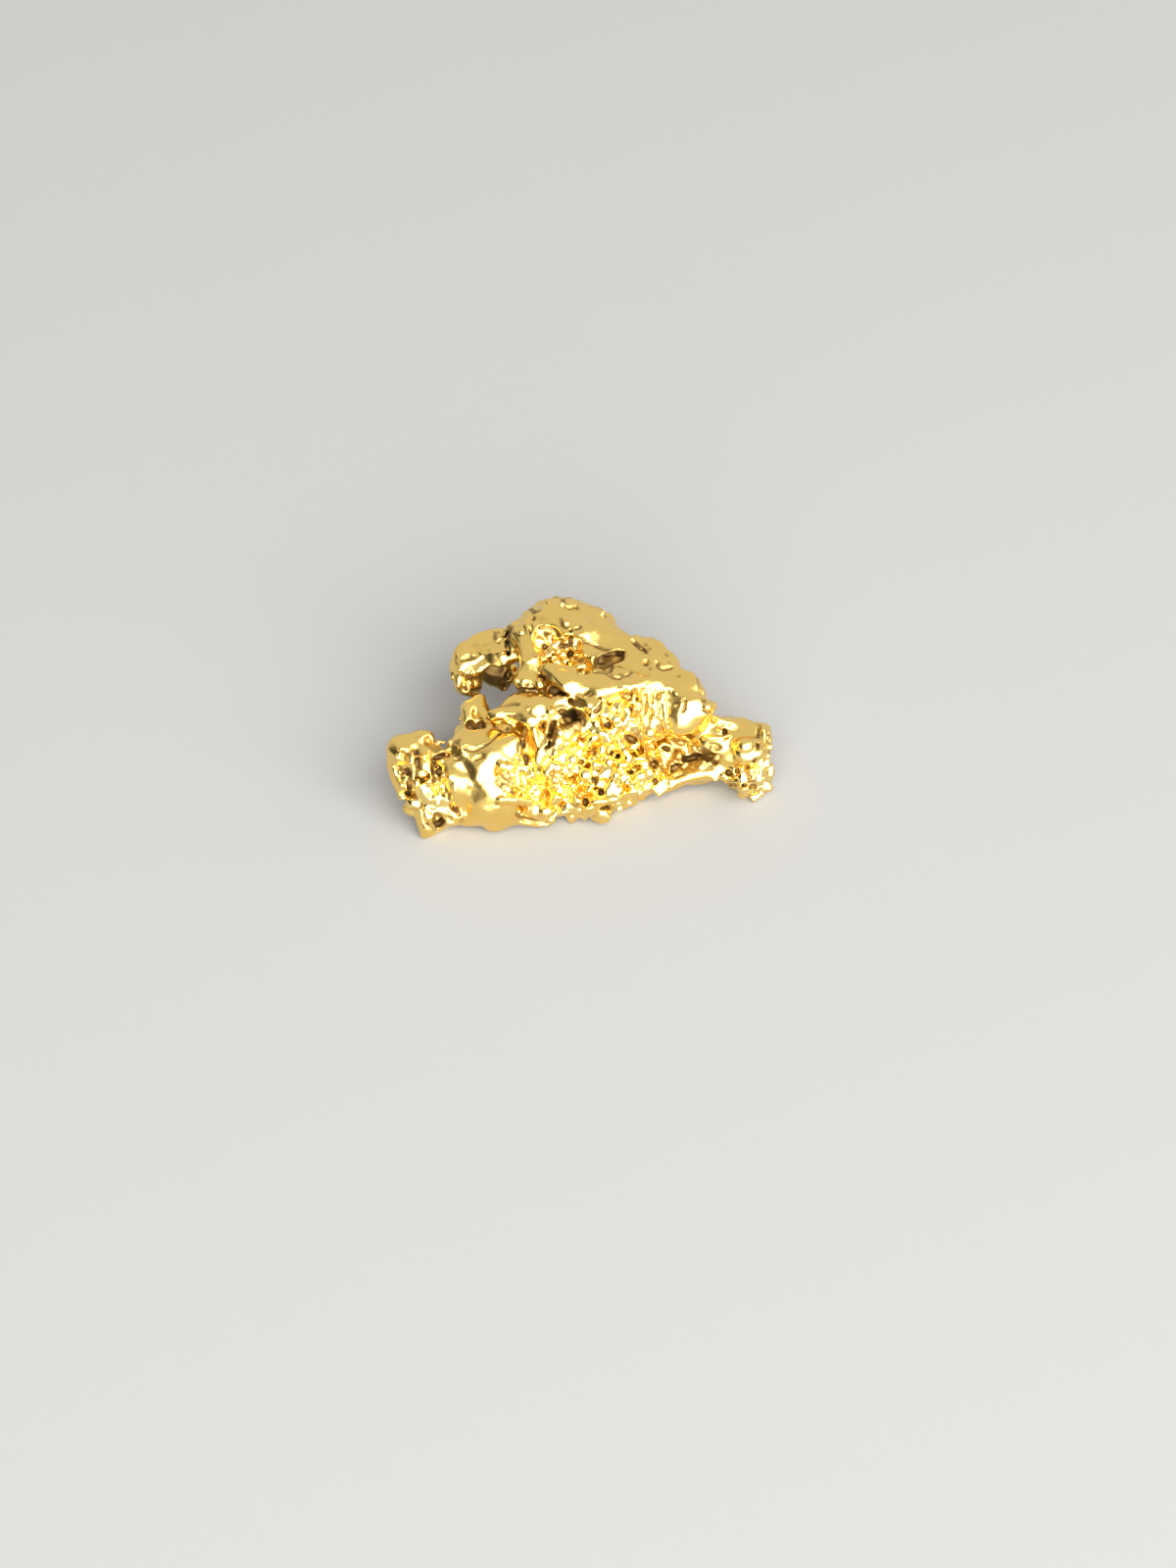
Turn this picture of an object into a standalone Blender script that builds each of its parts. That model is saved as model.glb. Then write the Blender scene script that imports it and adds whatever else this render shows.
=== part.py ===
"""A small gold nugget, one natural lump that rests on its worn feet.

Lumps and bars of metal are fused, hollows are cut out of them, and the whole is roughened.
A lump's place is (across, up, height) in millimetres: across and up are measured in a plane that
faces a viewer standing VIEW_RISE above the surface, and height is above the surface.
"""
import math
from collections import namedtuple

import bmesh
import bpy
from mathutils import Euler, Matrix, Vector

# Driving dimensions
NUGGET_LENGTH = 0.0090            # metres, end to end along X
VIEW_RISE = math.radians(47)      # how far above the surface the viewer stands
PLANE_HEIGHT = 1.70               # mm, height at which up is zero for a point on the X axis

# Working sizes, in millimetres
FUSE_GRAIN = 0.065                # cell of the grid that fuses the lumps
BALL_STEPS = 3                    # icosphere subdivisions of a lump
LUMP_EXTRA = 0.03                 # added to every lump's radius, about what smoothing takes off
FLOOR_REACH = 12.0                # side of the block that flattens the feet
BUMP_HEIGHT = 0.12                # from the lowest to the highest of the roughness
BUMP_WIDTH = 0.38                 # across one bump of the roughness
BLEND_PASSES = 3                  # smoothing passes that round where lumps meet
RIM_PASSES = 1                    # smoothing passes that soften the rims of hollows
TRIANGLES = 9000                  # about as many as the finished surface keeps

GOLD_COLOUR = (0.72, 0.46, 0.12, 1.0)
GOLD_ROUGHNESS = 0.25

Ball = namedtuple("Ball", "place radii")
Bar = namedtuple("Bar", "start end start_radius end_radius")

BODY = {
    "middle": Ball((0.45, 0.42, 1.25), (1.80, 1.25, 1.15)),
    "left": Ball((-1.40, -0.95, 0.95), (1.20, 1.00, 0.90)),
    "back": Ball((-0.55, 0.85, 1.35), (0.90, 0.80, 1.25)),
    "right": Ball((2.15, -0.62, 0.62), (1.25, 0.80, 0.58)),
}

FEET = {
    "middle": Ball((0.30, -1.10, 0.42), (0.80, 0.70, 0.55)),
    "left end": Ball((-3.30, -2.36, 0.26), (0.40, 0.38, 0.36)),
    "front": Ball((-1.00, -2.10, 0.26), (0.42, 0.38, 0.36)),
    "front right": Ball((1.10, -1.72, 0.24), (0.36, 0.34, 0.34)),
    "right arm": Ball((3.85, -1.50, 0.24), (0.38, 0.34, 0.30)),
    "back left": Ball((-0.50, 0.42, 0.30), (0.55, 0.50, 0.42)),
    "back right": Ball((1.80, -0.40, 0.28), (0.50, 0.45, 0.40)),
}

TOP = {
    "dome": Ball((-0.43, 2.02, 2.74), (0.98, 0.98, 0.40)),
    "dome shoulder": Ball((0.26, 1.85, 2.66), (0.60, 0.76, 0.35)),
    "dome root": Ball((-0.40, 1.62, 2.10), (0.85, 0.75, 0.75)),
    "upper slope": Bar((0.35, 1.72, 2.43), (1.35, 1.36, 2.33), 0.44, 0.40),
    "lower slope": Bar((1.35, 1.36, 2.33), (1.96, 0.84, 2.16), 0.40, 0.42),
    "first roof": Ball((0.40, 1.45, 2.66), (0.75, 1.15, 0.24)),
    "second roof": Ball((1.25, 1.26, 2.56), (0.80, 0.80, 0.22)),
    "third roof": Ball((1.80, 1.12, 2.46), (0.50, 0.44, 0.22)),
    "fourth roof": Ball((2.20, 0.80, 2.40), (0.50, 0.26, 0.22)),
    "column": Bar((-1.41, 1.85, 2.44), (-1.17, 1.28, 2.58), 0.32, 0.26),
    "column lower": Bar((-1.17, 1.28, 2.58), (-1.28, 0.80, 2.46), 0.26, 0.30),
    "column foot": Ball((-1.20, 0.66, 2.42), (0.30, 0.28, 0.28)),
    "column bead": Ball((-0.98, 0.72, 2.66), (0.12, 0.11, 0.11)),
    "bead": Ball((0.52, 2.27, 2.64), (0.13, 0.12, 0.12)),
}

CORNER = {
    "top": Ball((2.12, 0.50, 2.05), (0.76, 0.56, 0.50)),
    "front": Ball((1.62, 0.05, 1.85), (0.62, 0.50, 0.74)),
    "bulge": Ball((2.40, -0.02, 1.80), (0.66, 0.52, 0.74)),
    "spur": Bar((2.60, -0.25, 1.60), (2.98, -0.42, 1.45), 0.30, 0.16),
    "brace": Bar((1.10, -0.18, 1.95), (1.52, -0.78, 1.15), 0.10, 0.11),
    "bead": Bar((2.98, 0.22, 2.10), (2.72, 0.08, 2.00), 0.11, 0.10),
    "rim": Bar((1.30, 0.60, 2.60), (2.55, 0.62, 2.40), 0.17, 0.16),
}

LEDGE = {
    "tip": Bar((-0.84, 0.98, 2.72), (-0.25, 0.66, 2.80), 0.14, 0.18),
    "middle": Bar((-0.25, 0.66, 2.80), (0.45, 0.56, 2.76), 0.17, 0.17),
    "end": Bar((0.45, 0.56, 2.76), (1.55, 0.66, 2.56), 0.17, 0.18),
    "second lip": Bar((-0.45, 0.36, 2.60), (0.35, 0.20, 2.56), 0.11, 0.13),
}

HOOK = {
    "root": Bar((-1.62, 1.58, 2.02), (-2.20, 1.44, 1.96), 0.36, 0.34),
    "bend": Bar((-2.20, 1.44, 1.96), (-2.74, 1.12, 1.78), 0.34, 0.36),
    "root roof": Ball((-1.88, 1.59, 2.26), (0.62, 0.52, 0.26)),
    "bend roof": Ball((-2.46, 1.32, 2.10), (0.54, 0.46, 0.24)),
    "knob": Bar((-2.72, 1.10, 1.78), (-2.70, 0.72, 1.55), 0.36, 0.33),
    "back wall": Ball((-1.95, 1.00, 1.30), (0.50, 0.26, 0.42)),
}

LEAF = {
    "blade": Ball((-1.28, 0.14, 2.36), (0.62, 0.46, 0.20)),
    "tip": Bar((-2.08, -0.04, 2.32), (-1.62, 0.02, 2.36), 0.11, 0.17),
    "right": Ball((-0.80, 0.14, 2.38), (0.42, 0.32, 0.24)),
    "hem": Bar((-2.04, -0.08, 2.24), (-1.62, -0.28, 2.12), 0.10, 0.12),
    "pillar": Bar((-1.00, -0.12, 2.26), (-0.88, -1.32, 1.35), 0.20, 0.27),
}

EAR = {
    "outer": Bar((-2.70, -0.66, 1.72), (-2.62, 0.04, 1.95), 0.19, 0.16),
    "top": Bar((-2.62, 0.04, 1.95), (-2.38, 0.33, 2.02), 0.15, 0.12),
    "inner": Bar((-2.40, 0.32, 2.00), (-2.22, -0.10, 1.90), 0.13, 0.13),
    "strand": Bar((-2.22, -0.12, 1.90), (-2.10, -0.62, 1.72), 0.13, 0.18),
    "wall": Ball((-2.48, -0.42, 1.60), (0.44, 0.20, 0.36)),
}

FACE = {
    "upper": Ball((0.30, -0.42, 1.35), (1.25, 0.72, 1.20)),
    "lower": Ball((0.35, -1.30, 0.66), (1.35, 0.84, 0.68)),
    "left": Ball((-0.62, -1.32, 0.85), (0.80, 0.70, 0.86)),
    "under leaf": Ball((-0.78, -0.92, 1.30), (0.66, 0.50, 0.90)),
    "right": Ball((1.32, -1.22, 0.60), (0.46, 0.45, 0.50)),
    "shoulder": Ball((0.90, -0.05, 1.90), (0.50, 0.40, 0.55)),
    "bottom left": Ball((-1.08, -2.28, 0.36), (0.48, 0.34, 0.34)),
    "bottom right": Bar((0.10, -1.98, 0.36), (1.10, -1.80, 0.42), 0.22, 0.18),
    "bottom middle": Bar((-0.60, -2.24, 0.32), (0.60, -2.08, 0.34), 0.20, 0.20),
    "bottom end": Bar((-2.05, -2.40, 0.36), (-1.50, -2.38, 0.36), 0.28, 0.22),
}

LOBE = {
    "lobe": Ball((-2.10, -1.55, 1.08), (0.88, 0.82, 1.06)),
    "roof": Ball((-2.45, -0.86, 1.72), (0.62, 0.50, 0.34)),
    "shoulder": Ball((-1.68, -0.72, 1.86), (0.34, 0.34, 0.30)),
    "right": Ball((-1.36, -1.72, 0.80), (0.50, 0.50, 0.70)),
    "root": Ball((-2.90, -1.60, 0.92), (0.60, 0.70, 0.90)),
}

LEFT_END = {
    "knob": Ball((-4.05, -0.82, 1.72), (0.42, 0.42, 0.36)),
    "knob roof": Ball((-4.02, -0.78, 1.86), (0.42, 0.44, 0.18)),
    "back knob": Ball((-3.58, -0.66, 1.80), (0.28, 0.30, 0.26)),
    "body": Ball((-3.55, -1.42, 1.05), (0.66, 0.70, 0.82)),
    "first finger": Bar((-3.98, -0.98, 1.66), (-3.90, -1.42, 1.22), 0.22, 0.20),
    "second finger": Bar((-3.62, -0.88, 1.72), (-3.60, -1.30, 1.38), 0.20, 0.20),
    "side": Bar((-4.26, -1.12, 1.38), (-4.05, -1.72, 0.90), 0.24, 0.24),
    "lump": Ball((-3.50, -1.62, 1.20), (0.30, 0.36, 0.34)),
    "toe": Bar((-3.78, -1.80, 0.92), (-3.50, -2.56, 0.30), 0.24, 0.24),
    "heel": Bar((-3.28, -1.72, 1.12), (-3.22, -2.36, 0.50), 0.20, 0.24),
    "ridge": Bar((-2.92, -1.32, 1.48), (-2.92, -2.32, 0.55), 0.15, 0.24),
    "base": Ball((-3.40, -2.05, 0.55), (0.62, 0.55, 0.55)),
    "bridge": Ball((-2.62, -2.34, 0.34), (0.42, 0.30, 0.30)),
}

RIGHT_ARM = {
    "arm": Bar((2.95, -0.62, 1.20), (3.85, -0.78, 1.15), 0.44, 0.52),
    "top": Bar((3.00, -0.12, 1.64), (4.16, -0.44, 1.47), 0.22, 0.25),
    "bump": Ball((3.86, -0.86, 1.58), (0.30, 0.28, 0.30)),
    "rim": Bar((4.30, -0.66, 1.34), (4.10, -1.36, 0.70), 0.18, 0.20),
    "base": Ball((3.88, -1.30, 0.62), (0.52, 0.48, 0.52)),
    "first knob": Ball((3.70, -1.58, 0.38), (0.20, 0.20, 0.18)),
    "second knob": Ball((4.16, -1.62, 0.30), (0.17, 0.18, 0.18)),
    "belly": Ball((3.25, -1.05, 0.72), (0.50, 0.36, 0.42)),
}

SHELF = {
    "left": Bar((1.50, -1.52, 0.62), (2.05, -1.58, 0.66), 0.20, 0.15),
    "middle": Bar((2.05, -1.58, 0.66), (2.75, -1.30, 0.76), 0.15, 0.17),
    "right": Bar((2.75, -1.30, 0.76), (3.45, -1.25, 0.72), 0.17, 0.26),
    "floor": Ball((2.40, -1.14, 0.50), (0.95, 0.52, 0.30)),
    "floor left": Ball((1.90, -1.38, 0.46), (0.62, 0.44, 0.28)),
    "floor right": Ball((2.95, -1.02, 0.58), (0.60, 0.44, 0.32)),
}

HOLLOWS = {
    "trough": Bar((-0.74, 1.72, 2.94), (0.04, 1.14, 2.88), 0.42, 0.38),
    "trough floor": Ball((-0.36, 1.42, 2.72), (0.40, 0.38, 0.40)),
    "top left": Ball((-0.74, 1.38, 2.90), (0.32, 0.46, 0.50)),
    "top right": Bar((0.48, 1.20, 2.80), (0.86, 1.38, 2.78), 0.21, 0.13),
    "below ledge": Ball((-0.12, 0.08, 2.24), (0.36, 0.74, 0.19)),
    "beside hook": Bar((-1.70, 2.10, 2.85), (-1.66, 1.40, 2.15), 0.09, 0.11),
    "beside ledge": Bar((-0.92, 1.02, 3.05), (-0.72, 0.60, 2.62), 0.07, 0.10),
    "beside pillar": Bar((-0.68, -0.20, 2.35), (-0.66, -0.82, 1.85), 0.09, 0.13),
    "in hook": Ball((-2.02, 0.96, 1.95), (0.40, 0.36, 0.30)),
    "undercut": Ball((2.20, -0.98, 1.15), (0.72, 0.46, 0.30)),
    "undercut right": Ball((2.95, -0.85, 1.20), (0.34, 0.30, 0.20)),
    "beside brace": Ball((1.24, -0.52, 1.82), (0.17, 0.30, 0.12)),
    "pit": Ball((3.36, -0.42, 1.95), (0.15, 0.17, 0.16)),
    "scoop": Ball((3.42, -1.06, 1.40), (0.24, 0.26, 0.26)),
    "slot": Ball((-1.36, -0.78, 2.12), (0.10, 0.20, 0.26)),
    "left crevice": Ball((-3.22, -0.86, 1.96), (0.22, 0.30, 0.18)),
    "toe hollow": Ball((-3.32, -2.50, 0.46), (0.15, 0.28, 0.18)),
    "first finger gap": Bar((-3.80, -0.92, 1.92), (-3.76, -1.46, 1.42), 0.06, 0.08),
    "second finger gap": Bar((-3.38, -0.98, 1.86), (-3.28, -1.60, 1.42), 0.07, 0.09),
    "first ear hollow": Ball((-2.60, -0.32, 1.92), (0.12, 0.14, 0.14)),
    "second ear hollow": Ball((-2.30, -0.30, 1.92), (0.09, 0.12, 0.14)),
}

LUMP_GROUPS = (BODY, FEET, TOP, CORNER, LEDGE, HOOK, LEAF, EAR, FACE, LOBE, LEFT_END, RIGHT_ARM, SHELF)


def clear_scene():
    for thing in list(bpy.data.objects):
        bpy.data.objects.remove(thing, do_unlink=True)


def in_space(place):
    """Place in the viewer's plane and height, as a point in space."""
    across, up, height = place
    depth = (up - math.cos(VIEW_RISE) * (height - PLANE_HEIGHT)) / math.sin(VIEW_RISE)
    return Vector((across, depth, height))


def add_ball(bm, ball, extra):
    radii = [radius + extra for radius in ball.radii]
    placed = Matrix.Translation(in_space(ball.place)) @ Matrix.Diagonal((*radii, 1.0))
    bmesh.ops.create_icosphere(bm, subdivisions=BALL_STEPS, radius=1.0, matrix=placed)


def unit_ball():
    """Points of a ball of radius one about the origin."""
    bm = bmesh.new()
    bmesh.ops.create_icosphere(bm, subdivisions=BALL_STEPS, radius=1.0)
    points = [point.co.copy() for point in bm.verts]
    bm.free()
    return points


def add_bar(bm, bar, extra):
    """Rounded bar: the skin stretched over a ball at each end."""
    ends = ((bar.start, bar.start_radius + extra), (bar.end, bar.end_radius + extra))
    points = []
    for place, radius in ends:
        centre = in_space(place)
        points += [bm.verts.new(centre + radius * point) for point in unit_ball()]
    hull = bmesh.ops.convex_hull(bm, input=points)
    inside = hull["geom_interior"] + hull["geom_unused"]
    spare = list({item for item in inside if isinstance(item, bmesh.types.BMVert)})
    bmesh.ops.delete(bm, geom=spare, context="VERTS")


def shape_object(name, groups, extra):
    """One object that holds every lump of the groups, still as separate skins."""
    bm = bmesh.new()
    for group in groups:
        for shape in group.values():
            if isinstance(shape, Ball):
                add_ball(bm, shape, extra)
            else:
                add_bar(bm, shape, extra)
    bmesh.ops.recalc_face_normals(bm, faces=bm.faces)
    mesh = bpy.data.meshes.new(name)
    bm.to_mesh(mesh)
    bm.free()
    made = bpy.data.objects.new(name, mesh)
    bpy.context.collection.objects.link(made)
    return made


def add_fuse(thing):
    fuse = thing.modifiers.new("fuse", "REMESH")
    fuse.mode = "VOXEL"
    fuse.voxel_size = FUSE_GRAIN
    fuse.use_smooth_shade = True


def add_smooth(thing, passes):
    smooth = thing.modifiers.new("smooth", "SMOOTH")
    smooth.factor = 0.5
    smooth.iterations = passes


def add_cut(thing, cutter):
    cut = thing.modifiers.new("cut", "BOOLEAN")
    cut.operation = "DIFFERENCE"
    cut.solver = "EXACT"
    cut.object = cutter


def add_bumps(thing):
    clouds = bpy.data.textures.new("bumps", "CLOUDS")
    clouds.noise_scale = BUMP_WIDTH
    clouds.noise_depth = 1
    bumps = thing.modifiers.new("bumps", "DISPLACE")
    bumps.texture = clouds
    bumps.texture_coords = "LOCAL"
    bumps.strength = BUMP_HEIGHT
    bumps.mid_level = 0.5


def hide_guide(guide):
    guide.hide_render = True
    guide.display_type = "WIRE"


def bake_modifiers(thing):
    """Replaces the object's mesh by what its modifiers make of it."""
    bpy.context.view_layer.update()
    shown = thing.evaluated_get(bpy.context.evaluated_depsgraph_get())
    mesh = bpy.data.meshes.new_from_object(shown)
    thing.modifiers.clear()
    thing.data = mesh


def keep_main_skin(thing):
    """Deletes every skin but the largest, so no loose crumb or sealed bubble stays."""
    bm = bmesh.new()
    bm.from_mesh(thing.data)
    waiting = set(bm.verts)
    skins = []
    while waiting:
        edge_of_search = [waiting.pop()]
        skin = list(edge_of_search)
        while edge_of_search:
            point = edge_of_search.pop()
            for edge in point.link_edges:
                other = edge.other_vert(point)
                if other in waiting:
                    waiting.discard(other)
                    edge_of_search.append(other)
                    skin.append(other)
        skins.append(skin)
    skins.sort(key=len)
    for skin in skins[:-1]:
        bmesh.ops.delete(bm, geom=skin, context="VERTS")
    bm.to_mesh(thing.data)
    bm.free()


def thin_out(thing):
    """Collapses short edges until about TRIANGLES are left."""
    count = sum(len(face.vertices) - 2 for face in thing.data.polygons)
    thin = thing.modifiers.new("thin out", "DECIMATE")
    thin.decimate_type = "COLLAPSE"
    thin.ratio = min(1.0, TRIANGLES / count)
    thin.use_collapse_triangulate = True
    bake_modifiers(thing)


def floor_block():
    """Block whose top is the surface that the nugget rests on."""
    bm = bmesh.new()
    low = Matrix.Translation((0.0, 0.0, -FLOOR_REACH / 2))
    bmesh.ops.create_cube(bm, size=FLOOR_REACH, matrix=low)
    mesh = bpy.data.meshes.new("floor block")
    bm.to_mesh(mesh)
    bm.free()
    block = bpy.data.objects.new("floor block", mesh)
    bpy.context.collection.objects.link(block)
    hide_guide(block)
    return block


def to_real_size(thing):
    """Centres the nugget over the origin, stands it on z = 0 and scales it to NUGGET_LENGTH."""
    mesh = thing.data
    xs = [point.co.x for point in mesh.vertices]
    ys = [point.co.y for point in mesh.vertices]
    zs = [point.co.z for point in mesh.vertices]
    middle = Vector(((min(xs) + max(xs)) / 2, (min(ys) + max(ys)) / 2, min(zs)))
    size = NUGGET_LENGTH / (max(xs) - min(xs))
    mesh.transform(Matrix.Scale(size, 4) @ Matrix.Translation(-middle))


def gold():
    material = bpy.data.materials.new("gold")
    material.use_nodes = True
    shader = material.node_tree.nodes["Principled BSDF"]
    shader.inputs["Base Color"].default_value = GOLD_COLOUR
    shader.inputs["Metallic"].default_value = 1.0
    shader.inputs["Roughness"].default_value = GOLD_ROUGHNESS
    return material


def make_nugget():
    hollows = shape_object("hollows", (HOLLOWS,), 0.0)
    add_fuse(hollows)
    hide_guide(hollows)
    nugget = shape_object("nugget", LUMP_GROUPS, LUMP_EXTRA)
    add_fuse(nugget)
    add_smooth(nugget, BLEND_PASSES)
    add_cut(nugget, hollows)
    add_fuse(nugget)
    add_smooth(nugget, RIM_PASSES)
    add_bumps(nugget)
    bake_modifiers(nugget)
    keep_main_skin(nugget)
    thin_out(nugget)
    add_cut(nugget, floor_block())
    bake_modifiers(nugget)
    to_real_size(nugget)
    nugget.data.materials.clear()
    nugget.data.materials.append(gold())
    nugget.data.shade_smooth()
    return nugget


clear_scene()
make_nugget()
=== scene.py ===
import math
import bpy
import numpy as np
from mathutils import Matrix, Vector


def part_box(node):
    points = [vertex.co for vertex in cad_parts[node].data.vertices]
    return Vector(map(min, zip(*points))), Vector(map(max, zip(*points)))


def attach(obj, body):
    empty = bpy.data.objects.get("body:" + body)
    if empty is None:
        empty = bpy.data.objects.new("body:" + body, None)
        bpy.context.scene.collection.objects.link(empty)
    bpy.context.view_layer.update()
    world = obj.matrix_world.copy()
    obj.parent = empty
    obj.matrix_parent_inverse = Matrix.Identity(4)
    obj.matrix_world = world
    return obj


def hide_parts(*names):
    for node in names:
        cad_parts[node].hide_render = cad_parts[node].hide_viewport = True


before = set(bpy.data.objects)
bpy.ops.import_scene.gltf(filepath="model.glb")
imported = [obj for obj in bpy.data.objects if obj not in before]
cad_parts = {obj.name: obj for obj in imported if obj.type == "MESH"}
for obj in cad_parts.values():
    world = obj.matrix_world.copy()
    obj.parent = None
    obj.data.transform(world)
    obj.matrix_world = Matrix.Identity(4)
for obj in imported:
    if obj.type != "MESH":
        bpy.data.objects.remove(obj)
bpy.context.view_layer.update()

# All of the nugget is worked out in millimetres. A place is (across, up, height): across and up lie in
# a plane that faces a viewer standing viewRise above the floor, height is above the floor.
place = {
    "viewRise": 47.0,       # degrees
    "planeHeight": 1.70,    # height at which up is 0 on the x axis
    "solidMiddle": (0.010, 0.175),  # x and y of the middle of the solid's lumps, mm
    "easeReach": 0.45,      # mm
    "inset": 0.002,         # mm of air to the sides of the solid's box
}

camera = {
    "distance": 0.095,          # metres
    "mmToPixel": 44.0,          # scale of the picture at the nugget
    "frame": (1200, 1600),
    "aimPixel": (593.0, 729.0),     # where the x axis at planeHeight appears
    "clip": (0.001, 10),            # metres
}

nugget = {
    "cell": 0.036,          # mm between the grid's points, about half the finest crumb
    "gridLow": (-4.95, -3.1, -0.3),     # corners of the grid, mm
    "gridHigh": (4.95, 3.4, 3.75),
    "farAway": 9.0,         # distance to the skin before the first lump, mm
    "room": 0.25,           # mm of grid beyond a lump's own reach, for what bending moves
    "blockRoom": 0.1,
    "triangles": 196000,    # about as many as are kept after thinning
    "fuse": 0.14,           # mm over which two lumps run into each other
    "rimFuse": 0.05,        # the same where a hollow meets the surface
    "thinBall": 0.6,        # the most that a thin ball or bar runs, against its radius
    "thinBar": 0.8,
    "seed": 4,
    "bend": ((1.3, 0.08), (0.55, 0.06), (0.28, 0.025)),    # wave and reach of the unevenness, mm
    "swell": ((0.42, 0.06), (0.19, 0.022), (0.10, 0.006)),     # wave and height of the slow bumps, mm
    "backSwell": ((0.70, 0.13), (0.30, 0.06)),  # the same, only on what the viewer can't see
    "backEdge": 2.5,        # how fast that begins as the skin turns away
    "relaxTimes": 2,
    "relaxShare": 0.45,
    "pinchRounds": 12,      # most rounds of filling pinches
    "pinchDepth": 0.02,     # cells below the skin that a filled pinch gets
    "hollowTimes": 6,       # the same two figures for the smooth skin that hollows are measured from
    "hollowShare": 0.6,
    "hollowBlur": 2,
}

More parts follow.
